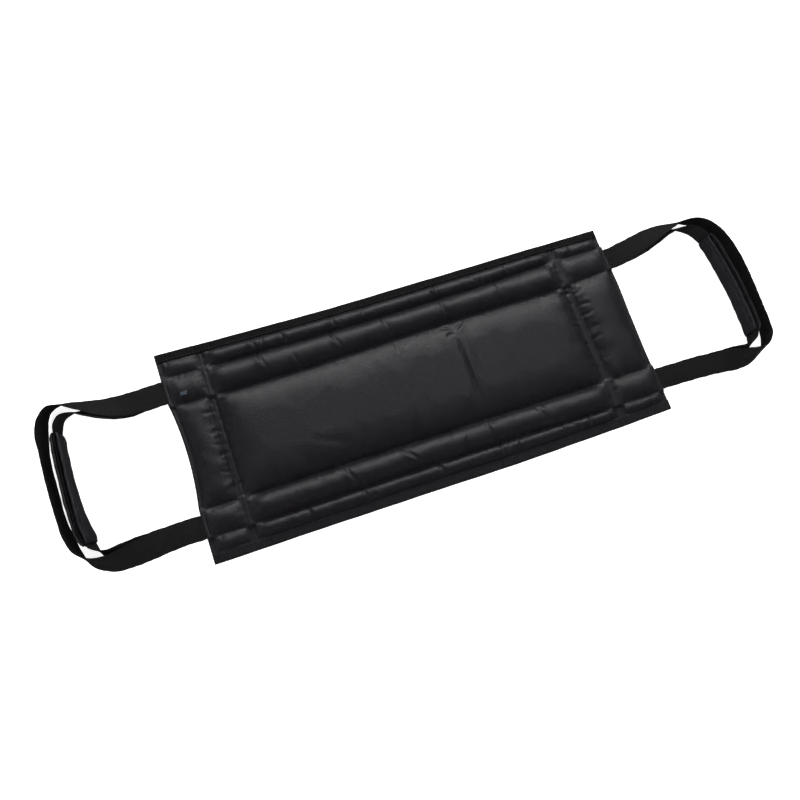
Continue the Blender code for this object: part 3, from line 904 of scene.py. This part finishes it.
    def span(self, section: Section) -> slice:
        """The grid columns from one end of a section to the other."""
        return slice(self.nearest(section.start), self.nearest(section.end) + 1)

    def build_covers(self, cloth: bpy.types.Material) -> None:
        """Cut the quilt into its sections, each a closed shell over its own foam.

        Args:
            cloth: the covers' finish.
        """
        up, down = grid_normals(self.top), -grid_normals(self.bottom)
        for section in SECTIONS:
            part = self.span(section)
            points, faces = shell_between(self.top[part], self.bottom[part])
            normals = np.concatenate([up[part].reshape(-1, 3), down[part].reshape(-1, 3)])
            name = section.name
            piece = piece_of(f"{name}_quilted_cover", points, faces, cloth, normals)
            nodes = [f"{name}_top_cover", f"{name}_bottom_cover"]
            nodes += [f"{name}_{side}_webbing" for side in ("upper", "lower")]
            if name.endswith("end"):
                nodes += [f"{name}_foam_centre"]
                nodes += [f"{name}_{side}_grip_tail" for side in ("upper", "lower")]
            else:
                channels = ("lower_edge", "lower_strap", "centre", "upper_strap", "upper_edge")
                nodes += [f"{name}_foam_{channel}" for channel in channels]
            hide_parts(*nodes)
            section.hang(piece)

    def tape_rings(self, row: int, edge_row: int, way: float) -> np.ndarray:
        """The outlines of the tape folded over one long edge.

        Each is a U on its side: out over the top, round a nose of half a circle, and back
        underneath, then the same at a tape's thickness less.

        Args:
            row: the grid row of the seam that holds it.
            edge_row: the grid row of the pad's edge.
            way: 1 at the upper edge and -1 at the lower one.

        Returns:
            (n, 2m, 3) outlines, one for each column.
        """
        thick, steps, flat_steps = 0.8, 9, 4
        past_seam, past_edge, most_high, rise_over, foot = 0.6, 0.9, 6.0, 0.75, 0.3
        seam, edge = self.top[:, row], self.top[:, edge_row]
        x = (seam[:, 0] + edge[:, 0]) / 2
        wander = 0.35 * np.sin(x / 23.0 + way) + 0.2 * np.sin(x / 7.1 + 2.0 * way)
        inner = seam[:, 1] - way * past_seam
        nose = edge[:, 1] + way * (past_edge + wander * 0.4)
        dip = 0.12 * np.sin(x / 1.9) + 0.2 * np.sin(x / 13.0)
        high = np.maximum(np.minimum(seam[:, 2], most_high), edge[:, 2]) + rise_over + dip * 0.5
        low = np.full_like(high, foot)

        def side(gap: float) -> np.ndarray:
            """Follow one face of the tape.

            Args:
                gap: how far it lies inside the outer face.

            Returns:
                (n, m, 3) points, one row for each column of the grid.
            """
            radius = (high - low) / 2 - gap
            centre_y, centre_z = nose - way * (radius + gap), (high + low) / 2
            turn = np.linspace(np.pi / 2, -np.pi / 2, steps)
            arc_y = centre_y[:, None] + way * radius[:, None] * np.cos(turn)
            arc_z = centre_z[:, None] + radius[:, None] * np.sin(turn)
            run = np.arange(flat_steps) / flat_steps
            flat_y = inner[:, None] + (centre_y - inner)[:, None] * run
            sag = -0.25 * np.sin(np.pi * run) ** 2
            above = np.broadcast_to((high - gap)[:, None] + sag, flat_y.shape)
            below = np.broadcast_to((low + gap)[:, None], flat_y.shape)
            y = np.concatenate([flat_y, arc_y, flat_y[:, ::-1]], axis=1)
            z = np.concatenate([above, arc_z, below[:, ::-1]], axis=1)
            return np.stack([np.broadcast_to(x[:, None], y.shape), y, z], axis=-1)

        return np.concatenate([side(0.0), side(thick)[:, ::-1]], axis=1)

    def build_tapes(self, tapes: dict[str, bpy.types.Material]) -> dict[str, np.ndarray]:
        """Fold a tape over each long edge, in the pad's sections.

        Args:
            tapes: the finish of the upper tape, and for the lower one a copy painted lighter, as if lit.

        Returns:
            The line of its stitching along the top of each tape.
        """
        stitch_lines = {}
        for side, row, edge_row, way in (
            ("upper", self.seam_rows[-1], -1, 1.0), ("lower", self.seam_rows[0], 0, -1.0),
        ):
            rings = self.tape_rings(row, edge_row, way)
            stitch_lines[side] = rings[:, 1]
            steps = np.diff(rings[0], axis=0, prepend=rings[:1, 0])
            around = np.cumsum(np.linalg.norm(steps, axis=1))
            place = np.stack(np.broadcast_arrays(rings[..., 0], around[None, :]), axis=-1) * MM
            for section in SECTIONS:
                part = self.span(section)
                points, faces = swept(rings[part])
                name, weave = f"{section.name}_{side}_binding", place[part].reshape(-1, 2)
                piece = piece_of(f"{name}_tape", points, faces, tapes[side], weave=weave)
                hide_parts(name)
                section.hang(piece)
        return stitch_lines

    def stitch_runs(self, tape_lines: dict[str, np.ndarray]) -> list[np.ndarray]:
        """Follow every line of stitching on the pad.

        Args:
            tape_lines: the lines along the two tapes.

        Returns:
            (n, 2, 3) points with their normals, for each line.
        """
        up, down = grid_normals(self.top), -grid_normals(self.bottom)
        over, under = np.stack([self.top, up], axis=2), np.stack([self.bottom, down], axis=2)
        hem = self.half_length - self.hem_stitch
        runs = []
        for row in self.seam_rows[1:-1]:
            runs += [over[:, row], under[:, row]]
        rows = slice(self.seam_rows[0], self.seam_rows[-1] + 1)
        for x in (-hem, *self.cross_seams[0], *self.cross_seams[1], hem):
            column = self.nearest(x)
            runs += [over[column, rows], under[column, rows]]
        for x, reach in ((self.middle_seam, self.join_span), (self.middle_ghost, self.ghost_span)):
            column = self.nearest(x)
            runs += [over[column, slice(*np.searchsorted(self.top[column, :, 1], reach))]]
        for line in tape_lines.values():
            upwards = np.broadcast_to(np.array([0.0, 0.0, 1.0]), line.shape)
            runs += [np.stack([line, upwards], axis=1)]
        return runs

    def build_stitching(self, thread: bpy.types.Material, tape_lines: dict[str, np.ndarray]) -> None:
        """Sew every seam, section by section.

        Args:
            thread: its finish.
            tape_lines: the lines along the two tapes.
        """
        rings = np.concatenate([row_of_stitches(run) for run in self.stitch_runs(tape_lines)])
        centre_x = rings.mean(axis=(1, 2))[:, 0]
        stood_for = {
            "left_end": [
                "left_cross_seam_outer_thread", "left_cross_seam_inner_thread", "left_end_hem_thread",
            ],
            "main": ["middle_seam_main_thread"],
            "right": ["middle_seam_right_thread"],
            "right_end": [
                "right_cross_seam_inner_thread", "right_cross_seam_outer_thread", "right_end_hem_thread",
            ],
        }
        for section in SECTIONS:
            mine = rings[(centre_x >= section.start) & (centre_x < section.end)]
            points, faces = stitch_faces(mine)
            piece = piece_of(f"{section.name}_stitching", points, faces, thread)
            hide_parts(*stood_for[section.name])
            section.hang(piece)

    def build_thread_tail(self, thread: bpy.types.Material) -> None:
        """Lay a small tangle of pale bluish-grey thread on the upper strap channel near the left end.

        It is a tube of 0.4 mm radius on a Lissajous curl, 7 mm long and 3 mm wide.

        Args:
            thread: its finish.
        """
        radius, sides = 0.4, 8
        t = np.linspace(0.0, 1.0, 90)
        x = -248.0 + 7.0 * t + 1.1 * np.sin(31.0 * t)
        y = 62.5 + 1.5 * np.sin(23.0 * t + 0.6)
        column = np.searchsorted(self.columns, -245.0)
        z = np.interp(y, self.top[column, :, 1], self.top[column, :, 2]) + 0.6 + 0.4 * np.sin(17.0 * t)
        line = np.stack([x, y, z], axis=-1)
        along = unit(np.gradient(line, axis=0))
        side = unit(np.cross(along, np.array([0.0, 0.0, 1.0])))
        turn = 2.0 * np.pi * np.arange(sides) / sides
        lift = np.cross(side, along)
        ring = side[:, None] * np.cos(turn)[:, None] + lift[:, None] * np.sin(turn)[:, None]
        points, faces = swept(line[:, None] + radius * ring)
        piece = piece_of("basting_thread_tail", points, faces, thread)
        SECTIONS[0].hang(piece)


# --------------------------------------------------------------------------- stitches

STITCH_PITCH, STITCH_LENGTH = 3.6, 3.1
STITCH_RADIUS = 0.32
STITCH_SINK = 0.1
STITCH_RINGS = (-0.97, -0.55, 0.0, 0.55, 0.97)
STITCH_SIDES = 6


def row_of_stitches(run: np.ndarray) -> np.ndarray:
    """Lay stitches along a line on the cloth.

    A stitch is a capsule bowed up in its middle: at s from -1 to 1 along it, its radius is
    r (1 - s^4)^0.5 and its axis dips by the sink towards its two ends.

    Args:
        run: (n, 2, 3) points and normals along the line.

    Returns:
        (stitches, rings, sides, 3) points.
    """
    steps = np.linalg.norm(np.diff(run[:, 0], axis=0), axis=1)
    length = np.concatenate([[0.0], np.cumsum(steps)])
    middles = np.arange(STITCH_PITCH / 2, length[-1] - STITCH_LENGTH / 2, STITCH_PITCH)

    def read(values: np.ndarray, at: np.ndarray) -> np.ndarray:
        """Points or normals at some distances along the line."""
        return np.stack([np.interp(at, length, values[:, k]) for k in range(3)], axis=-1)

    s = np.array(STITCH_RINGS)
    at = middles[:, None] + s * STITCH_LENGTH / 2
    up = unit(read(run[:, 1], at))
    along = unit(read(run[:, 0], at[:, -1:]) - read(run[:, 0], at[:, :1]))
    side = unit(np.cross(up, along))
    centre = read(run[:, 0], at) + up * (STITCH_RADIUS * 0.5 - STITCH_SINK * s[:, None] ** 2 * 4.0)
    turn = 2 * np.pi * np.arange(STITCH_SIDES) / STITCH_SIDES
    radius = STITCH_RADIUS * np.sqrt(1.0 - s**4)[:, None, None]
    ring = side[:, :, None] * np.cos(turn)[:, None] + up[:, :, None] * np.sin(turn)[:, None]
    return centre[:, :, None] + ring * radius


def stitch_faces(rings: np.ndarray) -> tuple[np.ndarray, list[np.ndarray]]:
    """Skin many stitches at once: quads round each, and one face over its ring at either end.

    Args:
        rings: (stitches, rings, sides, 3) points.

    Returns:
        The points and the faces, pointing outwards.
    """
    count, along, around = rings.shape[:3]
    ids = np.arange(along * around).reshape(along, around)
    skin = quads(np.concatenate([ids, ids[:, :1]], axis=1))
    first = np.arange(count)[:, None, None] * along * around
    sides = (skin[None] + first).reshape(-1, 4)
    caps = (np.stack([ids[0], ids[-1][::-1]])[None] + first).reshape(-1, around)
    points = rings.reshape(-1, 3)
    return points, outward(points, [sides, caps])


# --------------------------------------------------------------------------- hand loops


@dataclass
class Strap:
    """A flat webbing strap along a curve.

    Attributes:
        knots: (x, y, height, tilt) rows. At tilt 0 the strap lies flat, and at 90 it stands on
            edge with its upper face outwards. The path runs anticlockwise seen from above.
        width, thickness: of the webbing.
    """

    knots: Rows
    width: float = 25.0
    thickness: float = 1.6

    def path(self, spacing: float = 2.0) -> tuple[np.ndarray, np.ndarray, np.ndarray, np.ndarray]:
        """Read the smooth curve through the knots at even steps.

        Args:
            spacing: the wanted length of a step.

        Returns:
            Its points, its directions across and up, and the distance along it.
        """
        rows = np.array(self.knots, float)
        gaps = np.linalg.norm(np.diff(rows[:, :3], axis=0), axis=1)
        along = np.concatenate([[0.0], np.cumsum(gaps)])
        at = np.linspace(0.0, along[-1], int(along[-1] / spacing) + 1)
        *places, tilt = (curve_through(tuple(zip(along, column)), at) for column in rows.T)
        points = np.stack(places, axis=-1)
        forward = unit(np.gradient(points, axis=0))
        flat = unit(np.cross(np.array([0.0, 0.0, 1.0]), forward))
        up = np.cross(forward, flat)
        turn = np.radians(tilt)[:, None]
        across = flat * np.cos(turn) + up * np.sin(turn)
        return points, across, up * np.cos(turn) - flat * np.sin(turn), at

    def rings(self) -> tuple[np.ndarray, np.ndarray]:
        """Outlines along the strap: a thin lens-edged rectangle, its edges a little wavy.

        The half thickness at u across is t/2 (1 - (u / half width)^12)^0.5, and never under a
        quarter of it.

        Returns:
            The outlines, and each point's place on the cloth in metres.
        """
        points, across, up, at = self.path()
        u = np.array((-1.0, -0.985, -0.94, -0.7, -0.35, 0.0, 0.35, 0.7, 0.94, 0.985, 1.0))
        v = self.thickness / 2 * np.maximum(np.sqrt(1.0 - np.abs(u) ** 12), 0.25)
        half = self.width / 2 + 0.18 * np.sin(at / 3.1) + 0.12 * np.sin(at / 1.37)
        half = half - 2.0 * np.clip((265.0 - np.abs(points[:, 0])) / 4.0, 0.0, 1.0)
        lateral = u * half[:, None]
        both = np.concatenate([lateral, lateral[:, ::-1]], axis=1)
        height = np.concatenate([v, -v[::-1]])
        made = points[:, None] + across[:, None] * both[..., None] + up[:, None] * height[:, None]
        place = np.stack(np.broadcast_arrays(both, at[:, None]), axis=-1) * MM
        return made, place


LEFT_LONG: Rows = (
    (-288, 68.8, 7.4, 2), (-302, 68.6, 8.5, 8), (-326, 72.5, 11.0, 32),
    (-347, 80.5, 12.8, 56), (-365, 87.0, 13.0, 74), (-377, 85.4, 13.0, 88),
    (-384, 77.0, 13.0, 98), (-388.6, 63.5, 13.0, 106), (-391.0, 42, 12.8, 99), (-391.6, 0, 12.6, 99),
    (-390.8, -28, 12.6, 98), (-388.4, -47, 12.6, 103), (-383.6, -64.0, 12.8, 97),
    (-373, -77.4, 13.0, 74), (-357.5, -83.2, 12.4, 52), (-332, -82.2, 10.4, 26),
    (-305, -79.2, 8.5, 8), (-288, -77.8, 7.4, 2),
)
LEFT_GRIP: Rows = (
    (-266, 70.2, 3.4, 0), (-288, 68.6, 5.0, 2),
    (-304, 66.5, 5.8, 12), (-326, 67.4, 9.4, 40), (-343, 71.2, 12.2, 62), (-356.5, 74.6, 14.2, 78),
    (-366.5, 72.6, 14.3, 90), (-372.0, 64.6, 14.3, 97), (-374.2, 54, 14.3, 95),
    (-376.2, 22, 14.3, 94), (-376.4, -2, 14.3, 96), (-375.0, -28, 14.3, 101),
    (-372.8, -48, 14.3, 107), (-368.8, -62, 14.3, 103), (-359.5, -72.6, 13.0, 76),
    (-346, -77.2, 10.4, 46), (-325, -78.2, 7.4, 20), (-304, -77.8, 5.8, 6),
    (-288, -77.4, 5.0, 2), (-266, -77.5, 3.4, 0),
)
RIGHT_LONG: Rows = (
    (288, -81.2, 7.4, 2), (312, -82.2, 8.4, 6), (340, -84.6, 9.8, 12),
    (362, -88.0, 11.8, 30), (381.5, -89.4, 12.8, 58), (398, -85.6, 13.0, 82),
    (408.4, -74.5, 12.8, 90), (412.2, -57, 12.6, 90), (413.6, -36, 12.6, 90),
    (415.2, -6, 12.6, 91), (415.6, 20, 12.6, 91), (414.0, 40, 12.6, 91), (410.0, 58, 12.6, 91),
    (402.8, 73, 12.8, 90), (390.4, 84.6, 13.0, 88), (372, 90.8, 13.0, 76), (350, 90.8, 12.4, 54),
    (326, 86.2, 10.8, 28), (305, 80.8, 8.6, 8), (288, 77.6, 7.4, 2),
)
RIGHT_GRIP: Rows = (
    (266, -80.1, 3.4, 0), (288, -80.8, 5.0, 2),
    (312, -81.4, 5.8, 6), (338, -83.2, 6.4, 10), (360, -83.6, 8.6, 28), (377.6, -80.4, 12.6, 64),
    (388.4, -72.4, 14.3, 86), (393.4, -60, 14.3, 92), (395.6, -42, 14.3, 92),
    (396.0, -14, 14.3, 91), (395.2, 10, 14.3, 91), (393.6, 32, 14.3, 91), (391.0, 50, 14.3, 90),
    (386.2, 65, 14.3, 90), (377.6, 76.6, 14.2, 86), (364, 83.2, 13.4, 74),
    (346, 84.6, 11.6, 56), (324, 82.2, 8.2, 28), (304, 78.8, 5.8, 8),
    (288, 76.6, 5.0, 2), (266, 74.6, 3.4, 0),
)


@dataclass
class HandLoops:
    """The two nested loops at one end of the pad.

    Attributes:
        hand: left or right.
        way: -1 at the left end and 1 at the right one.
        long, grip: knots of the long loop and of the short one.
        sleeve_span: where the grip sleeve starts and stops along Y.
        sewn_in: where the straps start inside the pad, along X.
        edge: where they leave it.
        root_level: height of the long strap's middle there.
        split: where the long strap parts from the short one.
        sleeve_beyond: the grip sleeve lies further out than this.
        pad_bend, loop_bend: spans along X, given to hang, for where a strap would turn with the next body
            out.
    """

    hand: str
    way: float
    long: Rows
    grip: Rows
    sleeve_span: tuple[float, float]
    sewn_in: float = 256.0
    edge: float = 266.0
    root_level: float = 5.3
    split: float = 278.0
    sleeve_beyond: float = 365.0
    pad_bend: tuple[float, float] = (264.0, 271.0)
    loop_bend: tuple[float, float] = (283.0, 293.0)

    def hang(self, piece: bpy.types.Object, bodies: tuple[str, str], bend: tuple[float, float]) -> None:
        """Bake a piece's placement into its mesh.

        Args:
            piece: the piece.
            bodies: the nearer body and the further one; not used.
            bend: where it would start and stop turning, outwards along X; not used.
        """
        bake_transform(piece)

    def cut_strap(self, knots: Rows, names: tuple[str, ...], cloth: bpy.types.Material) -> list:
        """Make a strap from its knots, cut where it passes the split if it has three names.

        The shading normals come from the whole strap, so that a cut doesn't show.

        Args:
            knots: of the strap.
            names: of its pieces.
            cloth: its finish.

        Returns:
            One piece for each name.
        """
        rings, place = Strap(knots).rings()
        normals = ring_normals(rings)
        beyond = np.flatnonzero(np.abs(rings[:, :, 0].mean(axis=1)) > self.split)
        cuts = [0, beyond[0], beyond[-1], len(rings) - 1] if len(names) == 3 else [0, len(rings) - 1]
        made = []
        for name, first, last in zip(names, cuts, cuts[1:]):
            part = slice(first, last + 1)
            points, faces = swept(rings[part])
            shading, cloth_place = normals[part].reshape(-1, 3), place[part].reshape(-1, 2)
            made.append(piece_of(name, points, faces, cloth, shading, cloth_place))
        return made

    def build(self, cloth: bpy.types.Material, sleeve_cloth: bpy.types.Material) -> None:
        """Make the short loop, and the long one on top of it, cut into two roots and a free loop.

        Args:
            cloth: the webbing's finish.
            sleeve_cloth: the grip sleeve's finish.
        """
        hand, way = self.hand, self.way
        end, grip_body, long_body = f"pad_{hand}_end", f"{hand}_grip_loop", f"{hand}_long_loop"
        first, last = self.grip[0], self.grip[-1]
        inside, edge, level = way * self.sewn_in, way * self.edge, self.root_level
        grip_knots = ((inside, first[1], first[2], 0.0), *self.grip, (inside, last[1], last[2], 0.0))
        (grip,) = self.cut_strap(grip_knots, (f"{hand}_grip_loop_strap",), cloth)
        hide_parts(f"{hand}_grip_loop_webbing")
        self.hang(grip, (end, grip_body), self.pad_bend)
        long_knots = (
            (inside, first[1], level, 0.0), (edge, first[1], level, 0.0),
            *self.long,
            (edge, last[1], level, 0.0), (inside, last[1], level, 0.0),
        )
        sides = ("upper", "lower") if first[1] > 0 else ("lower", "upper")
        names = (f"{hand}_{sides[0]}_long_root", f"{hand}_long_loop_strap", f"{hand}_{sides[1]}_long_root")
        early, loop, late = self.cut_strap(long_knots, names, cloth)
        for root, side in ((early, sides[0]), (late, sides[1])):
            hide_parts(f"{hand}_{side}_strap_root")
            self.hang(root, (end, grip_body), self.pad_bend)
        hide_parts(f"{hand}_long_loop_webbing")
        self.hang(loop, (grip_body, long_body), self.loop_bend)
        self.build_sleeve(sleeve_cloth)

    def sleeve_outline(self) -> tuple[np.ndarray, np.ndarray]:
        """The sleeve's outline: across u and out v, up one wall, under the strap and up the other.

        Each padded wall bellies out as a half sine, with a sewn Gaussian groove below its hem.
        Its half thickness grows to its hems as a Gaussian, and each hem ends in a half ellipse:
        t (1 - (1 - d / r)^2)^0.5, d being the distance from its tip.

        Returns:
            (2m, 2) points of the outline, and the cumulative distance round it.
        """
        foot, top, inner, outer = -9.4, 12.7, -3.7, 2.9
        radius, centre = (outer - inner) / 2, (outer + inner) / 2
        shares = (
            0.0, 0.012, 0.03, 0.06, 0.1, 0.145, 0.19, 0.235,
            0.28, 0.33, 0.39, 0.46, 0.56, 0.67, 0.78, 0.89,
        )
        stem = top - (top - foot) * np.array(shares)
        turn = np.linspace(0.0, np.pi, 11)
        u = np.concatenate([stem, foot - radius * np.sin(turn), stem[::-1]])
        walls = np.full_like(stem, inner), np.full_like(stem, outer)
        v = np.concatenate([walls[0], centre - radius * np.cos(turn), walls[1]])
        belly = 0.9 * np.sin(np.pi * np.clip((u - foot) / (top - foot), 0.0, 1.0))
        belly = belly - 0.8 * bell(u - 7.2, 1.3) + 0.35 * bell(u - 4.6, 1.5)
        spine = np.stack([u, v + np.sign(v - centre) * belly], axis=-1)
        forward = unit(np.gradient(spine, axis=0))
        side = np.stack([-forward[:, 1], forward[:, 0]], axis=-1)
        tip = np.clip((top - u) / 1.3, 0.0, 1.0)
        least_tip = 0.08
        half = np.maximum(np.sqrt(1 - (1 - tip) ** 2), least_tip)
        half *= 1.0 + 0.6 * bell(u - top + 1.4, 1.9)
        outline = np.concatenate([spine + side * half[:, None], (spine - side * half[:, None])[::-1]])
        around = np.linalg.norm(np.diff(outline, axis=0, prepend=outline[:1]), axis=1)
        return outline, np.cumsum(around)

    def build_sleeve(self, cloth: bpy.types.Material) -> None:
        """Fold the nylon grip sleeve up round the short loop.

        Its outline is a U of padded cloth, closed underneath and open on top, where the two
        folded hems stand as ridges on either side of the webbing. It draws in at both ends.
        Sines give it slack and lengthwise ridges, and gathers that fade from its ends.

        Args:
            cloth: its finish.
        """
        points, across, up, at = Strap(self.grip).path(spacing=1.2)
        low, high = self.sleeve_span
        held = (points[:, 1] > low) & (points[:, 1] < high) & (points[:, 0] * self.way > self.sleeve_beyond)
        points, across, up, at = points[held], across[held], up[held], at[held]
        at = (at - at[0])[:, None]
        from_end = np.minimum(at, at[-1] - at)
        outline, around = self.sleeve_outline()
        flat_u, flat_v = outline.T[:, None]
        draw = 0.5 + 0.5 * rise(from_end + 0.5, 8.0)
        slack = 0.3 * np.sin(at / 6.3 + flat_u / 4.0) + 0.22 * np.sin(at / 2.7 - flat_u / 2.0)
        gather = 0.5 * np.sin(at * 1.9 + 0.9 * flat_u) * bell(from_end, 6.0)
        ridge = 0.3 * np.sin(1.25 * flat_u + 0.8 * np.sin(at / 19.0))
        v = flat_v * draw + np.sign(flat_v) * (slack + gather + ridge) * 0.55
        u = flat_u * (0.94 + 0.06 * draw) + 0.35 * np.sin(at / 9.0 + self.way) + 0.15 * np.sin(at / 2.2)
        rings = points[:, None] + across[:, None] * u[..., None] + up[:, None] * v[..., None]
        skin, faces = swept(rings)
        place = np.stack(np.broadcast_arrays(around[None, :], at), axis=-1) * MM
        piece = piece_of(f"{self.hand}_grip_wrap", skin, faces, cloth, weave=place.reshape(-1, 2))
        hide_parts(f"{self.hand}_grip_sleeve")
        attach(piece, f"{self.hand}_grip_loop")


# --------------------------------------------------------------------------- the studio


@dataclass
class Studio:
    """The camera, the lights and the floor. Lengths are in metres.

    Attributes:
        eye, target, up: where the camera stands, what it looks at, and what is up in its view.
        lens: focal length in millimetres.
        lamps: (name, place, size, watts) of each light. All of them face the origin.
    """

    eye: tuple[float, float, float] = (-0.1972, -0.1913, 0.8171)
    target: tuple[float, float, float] = (-0.0278, -0.0118, 0.0)
    up: tuple[float, float, float] = (0.294, 0.919, 0.263)
    lens: float = 35.1
    lamps: tuple[tuple, ...] = (
        ("key_softbox", (0.3, 1.45, 0.85), (2.2, 0.6), 18.0),
        ("top_softbox", (0.5, 0.75, 1.8), (2.4, 1.0), 4.6),
        ("fill_card", (-1.6, -0.2, 0.6), (0.8, 0.8), 0.8),
    )

    def build(self) -> None:
        """Set up the studio."""
        scene = bpy.context.scene
        data = bpy.data.cameras.new("camera")
        data.lens = self.lens
        data.clip_start, data.clip_end = 0.01, 50.0
        camera = bpy.data.objects.new("camera", data)
        scene.collection.objects.link(camera)
        back = (Vector(self.eye) - Vector(self.target)).normalized()
        right = Vector(self.up).cross(back).normalized()
        turn = Matrix((right, back.cross(right), back)).transposed()
        camera.matrix_world = Matrix.Translation(self.eye) @ turn.to_4x4()
        scene.camera = camera
        for name, place, size, power in self.lamps:
            light = bpy.data.lights.new(name, "AREA")
            light.shape, light.size, light.size_y, light.energy = "RECTANGLE", *size, power
            lamp = bpy.data.objects.new(name, light)
            lamp.location = place
            lamp.rotation_euler = (-Vector(place)).to_track_quat("-Z", "Y").to_euler()
            scene.collection.objects.link(lamp)
        world = bpy.data.worlds.new("studio_air")
        world.use_nodes = True
        air = world.node_tree.nodes["Background"]
        air.inputs["Color"].default_value = linear("#ffffff")
        air.inputs["Strength"].default_value = 0.03
        scene.world = world
        scene.view_settings.view_transform = "Standard"
        floor = self.backdrop()
        # The white paper isn't mirrored in the black cloth, as if black card stood before it.
        floor.visible_glossy = False

    def backdrop(self) -> bpy.types.Object:
        """Seamless paper: a round floor whose far edge sweeps up into a wall.

        At radius r from the middle its height is 0 as far as 6 m, and beyond that the arc of a
        circle of 2.5 m, with a straight wall above it.

        Returns:
            The backdrop.
        """
        floor, sweep, top, spokes = 6.0, 2.5, 9.0, 65
        turn = np.linspace(0.0, np.pi / 2, 16)
        radius = np.concatenate([[0.001, 2.0, 4.0], floor + sweep * np.sin(turn), [floor + sweep]]) / MM
        height = np.concatenate([[0.0, 0.0, 0.0], sweep - sweep * np.cos(turn), [top]]) / MM
        angle = np.linspace(0.0, 2.0 * np.pi, spokes)[:, None]
        rows = np.broadcast_arrays(radius * np.cos(angle), radius * np.sin(angle), height)
        points = np.stack(rows, axis=-1)
        ids = np.arange(points[..., 0].size).reshape(points.shape[:2])
        ids[-1] = ids[0]
        faces = [quads(ids)[:, ::-1]]
        return piece_of("studio_backdrop", points.reshape(-1, 3), faces, studio_floor_material())


def main() -> None:
    """Build the sling and its studio, in order."""
    logging.basicConfig(level=logging.INFO, format="%(message)s")
    for leftover in list(bpy.data.objects):
        bpy.data.objects.remove(leftover)
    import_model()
    Studio().build()
    pad = QuiltedPad()
    pad.inflate()
    pad.build_covers(COVER_CLOTH.material())
    # The lower tape takes the copy of the tape finish that is painted lighter, as if lit.
    tape_lines = pad.build_tapes({"upper": TAPE_CLOTH.material(), "lower": PAINTED_LIT_TAPE.material()})
    pad.build_stitching(THREAD.material(), tape_lines)
    pad.build_thread_tail(PALE_THREAD.material())
    webbing, sleeve = WEBBING_CLOTH.material(), SLEEVE_CLOTH.material()
    HandLoops("left", -1.0, LEFT_LONG, LEFT_GRIP, (-60.0, 57.0)).build(webbing, sleeve)
    HandLoops("right", 1.0, RIGHT_LONG, RIGHT_GRIP, (-65.0, 62.0)).build(webbing, sleeve)


if __name__ == "__main__":
    main()
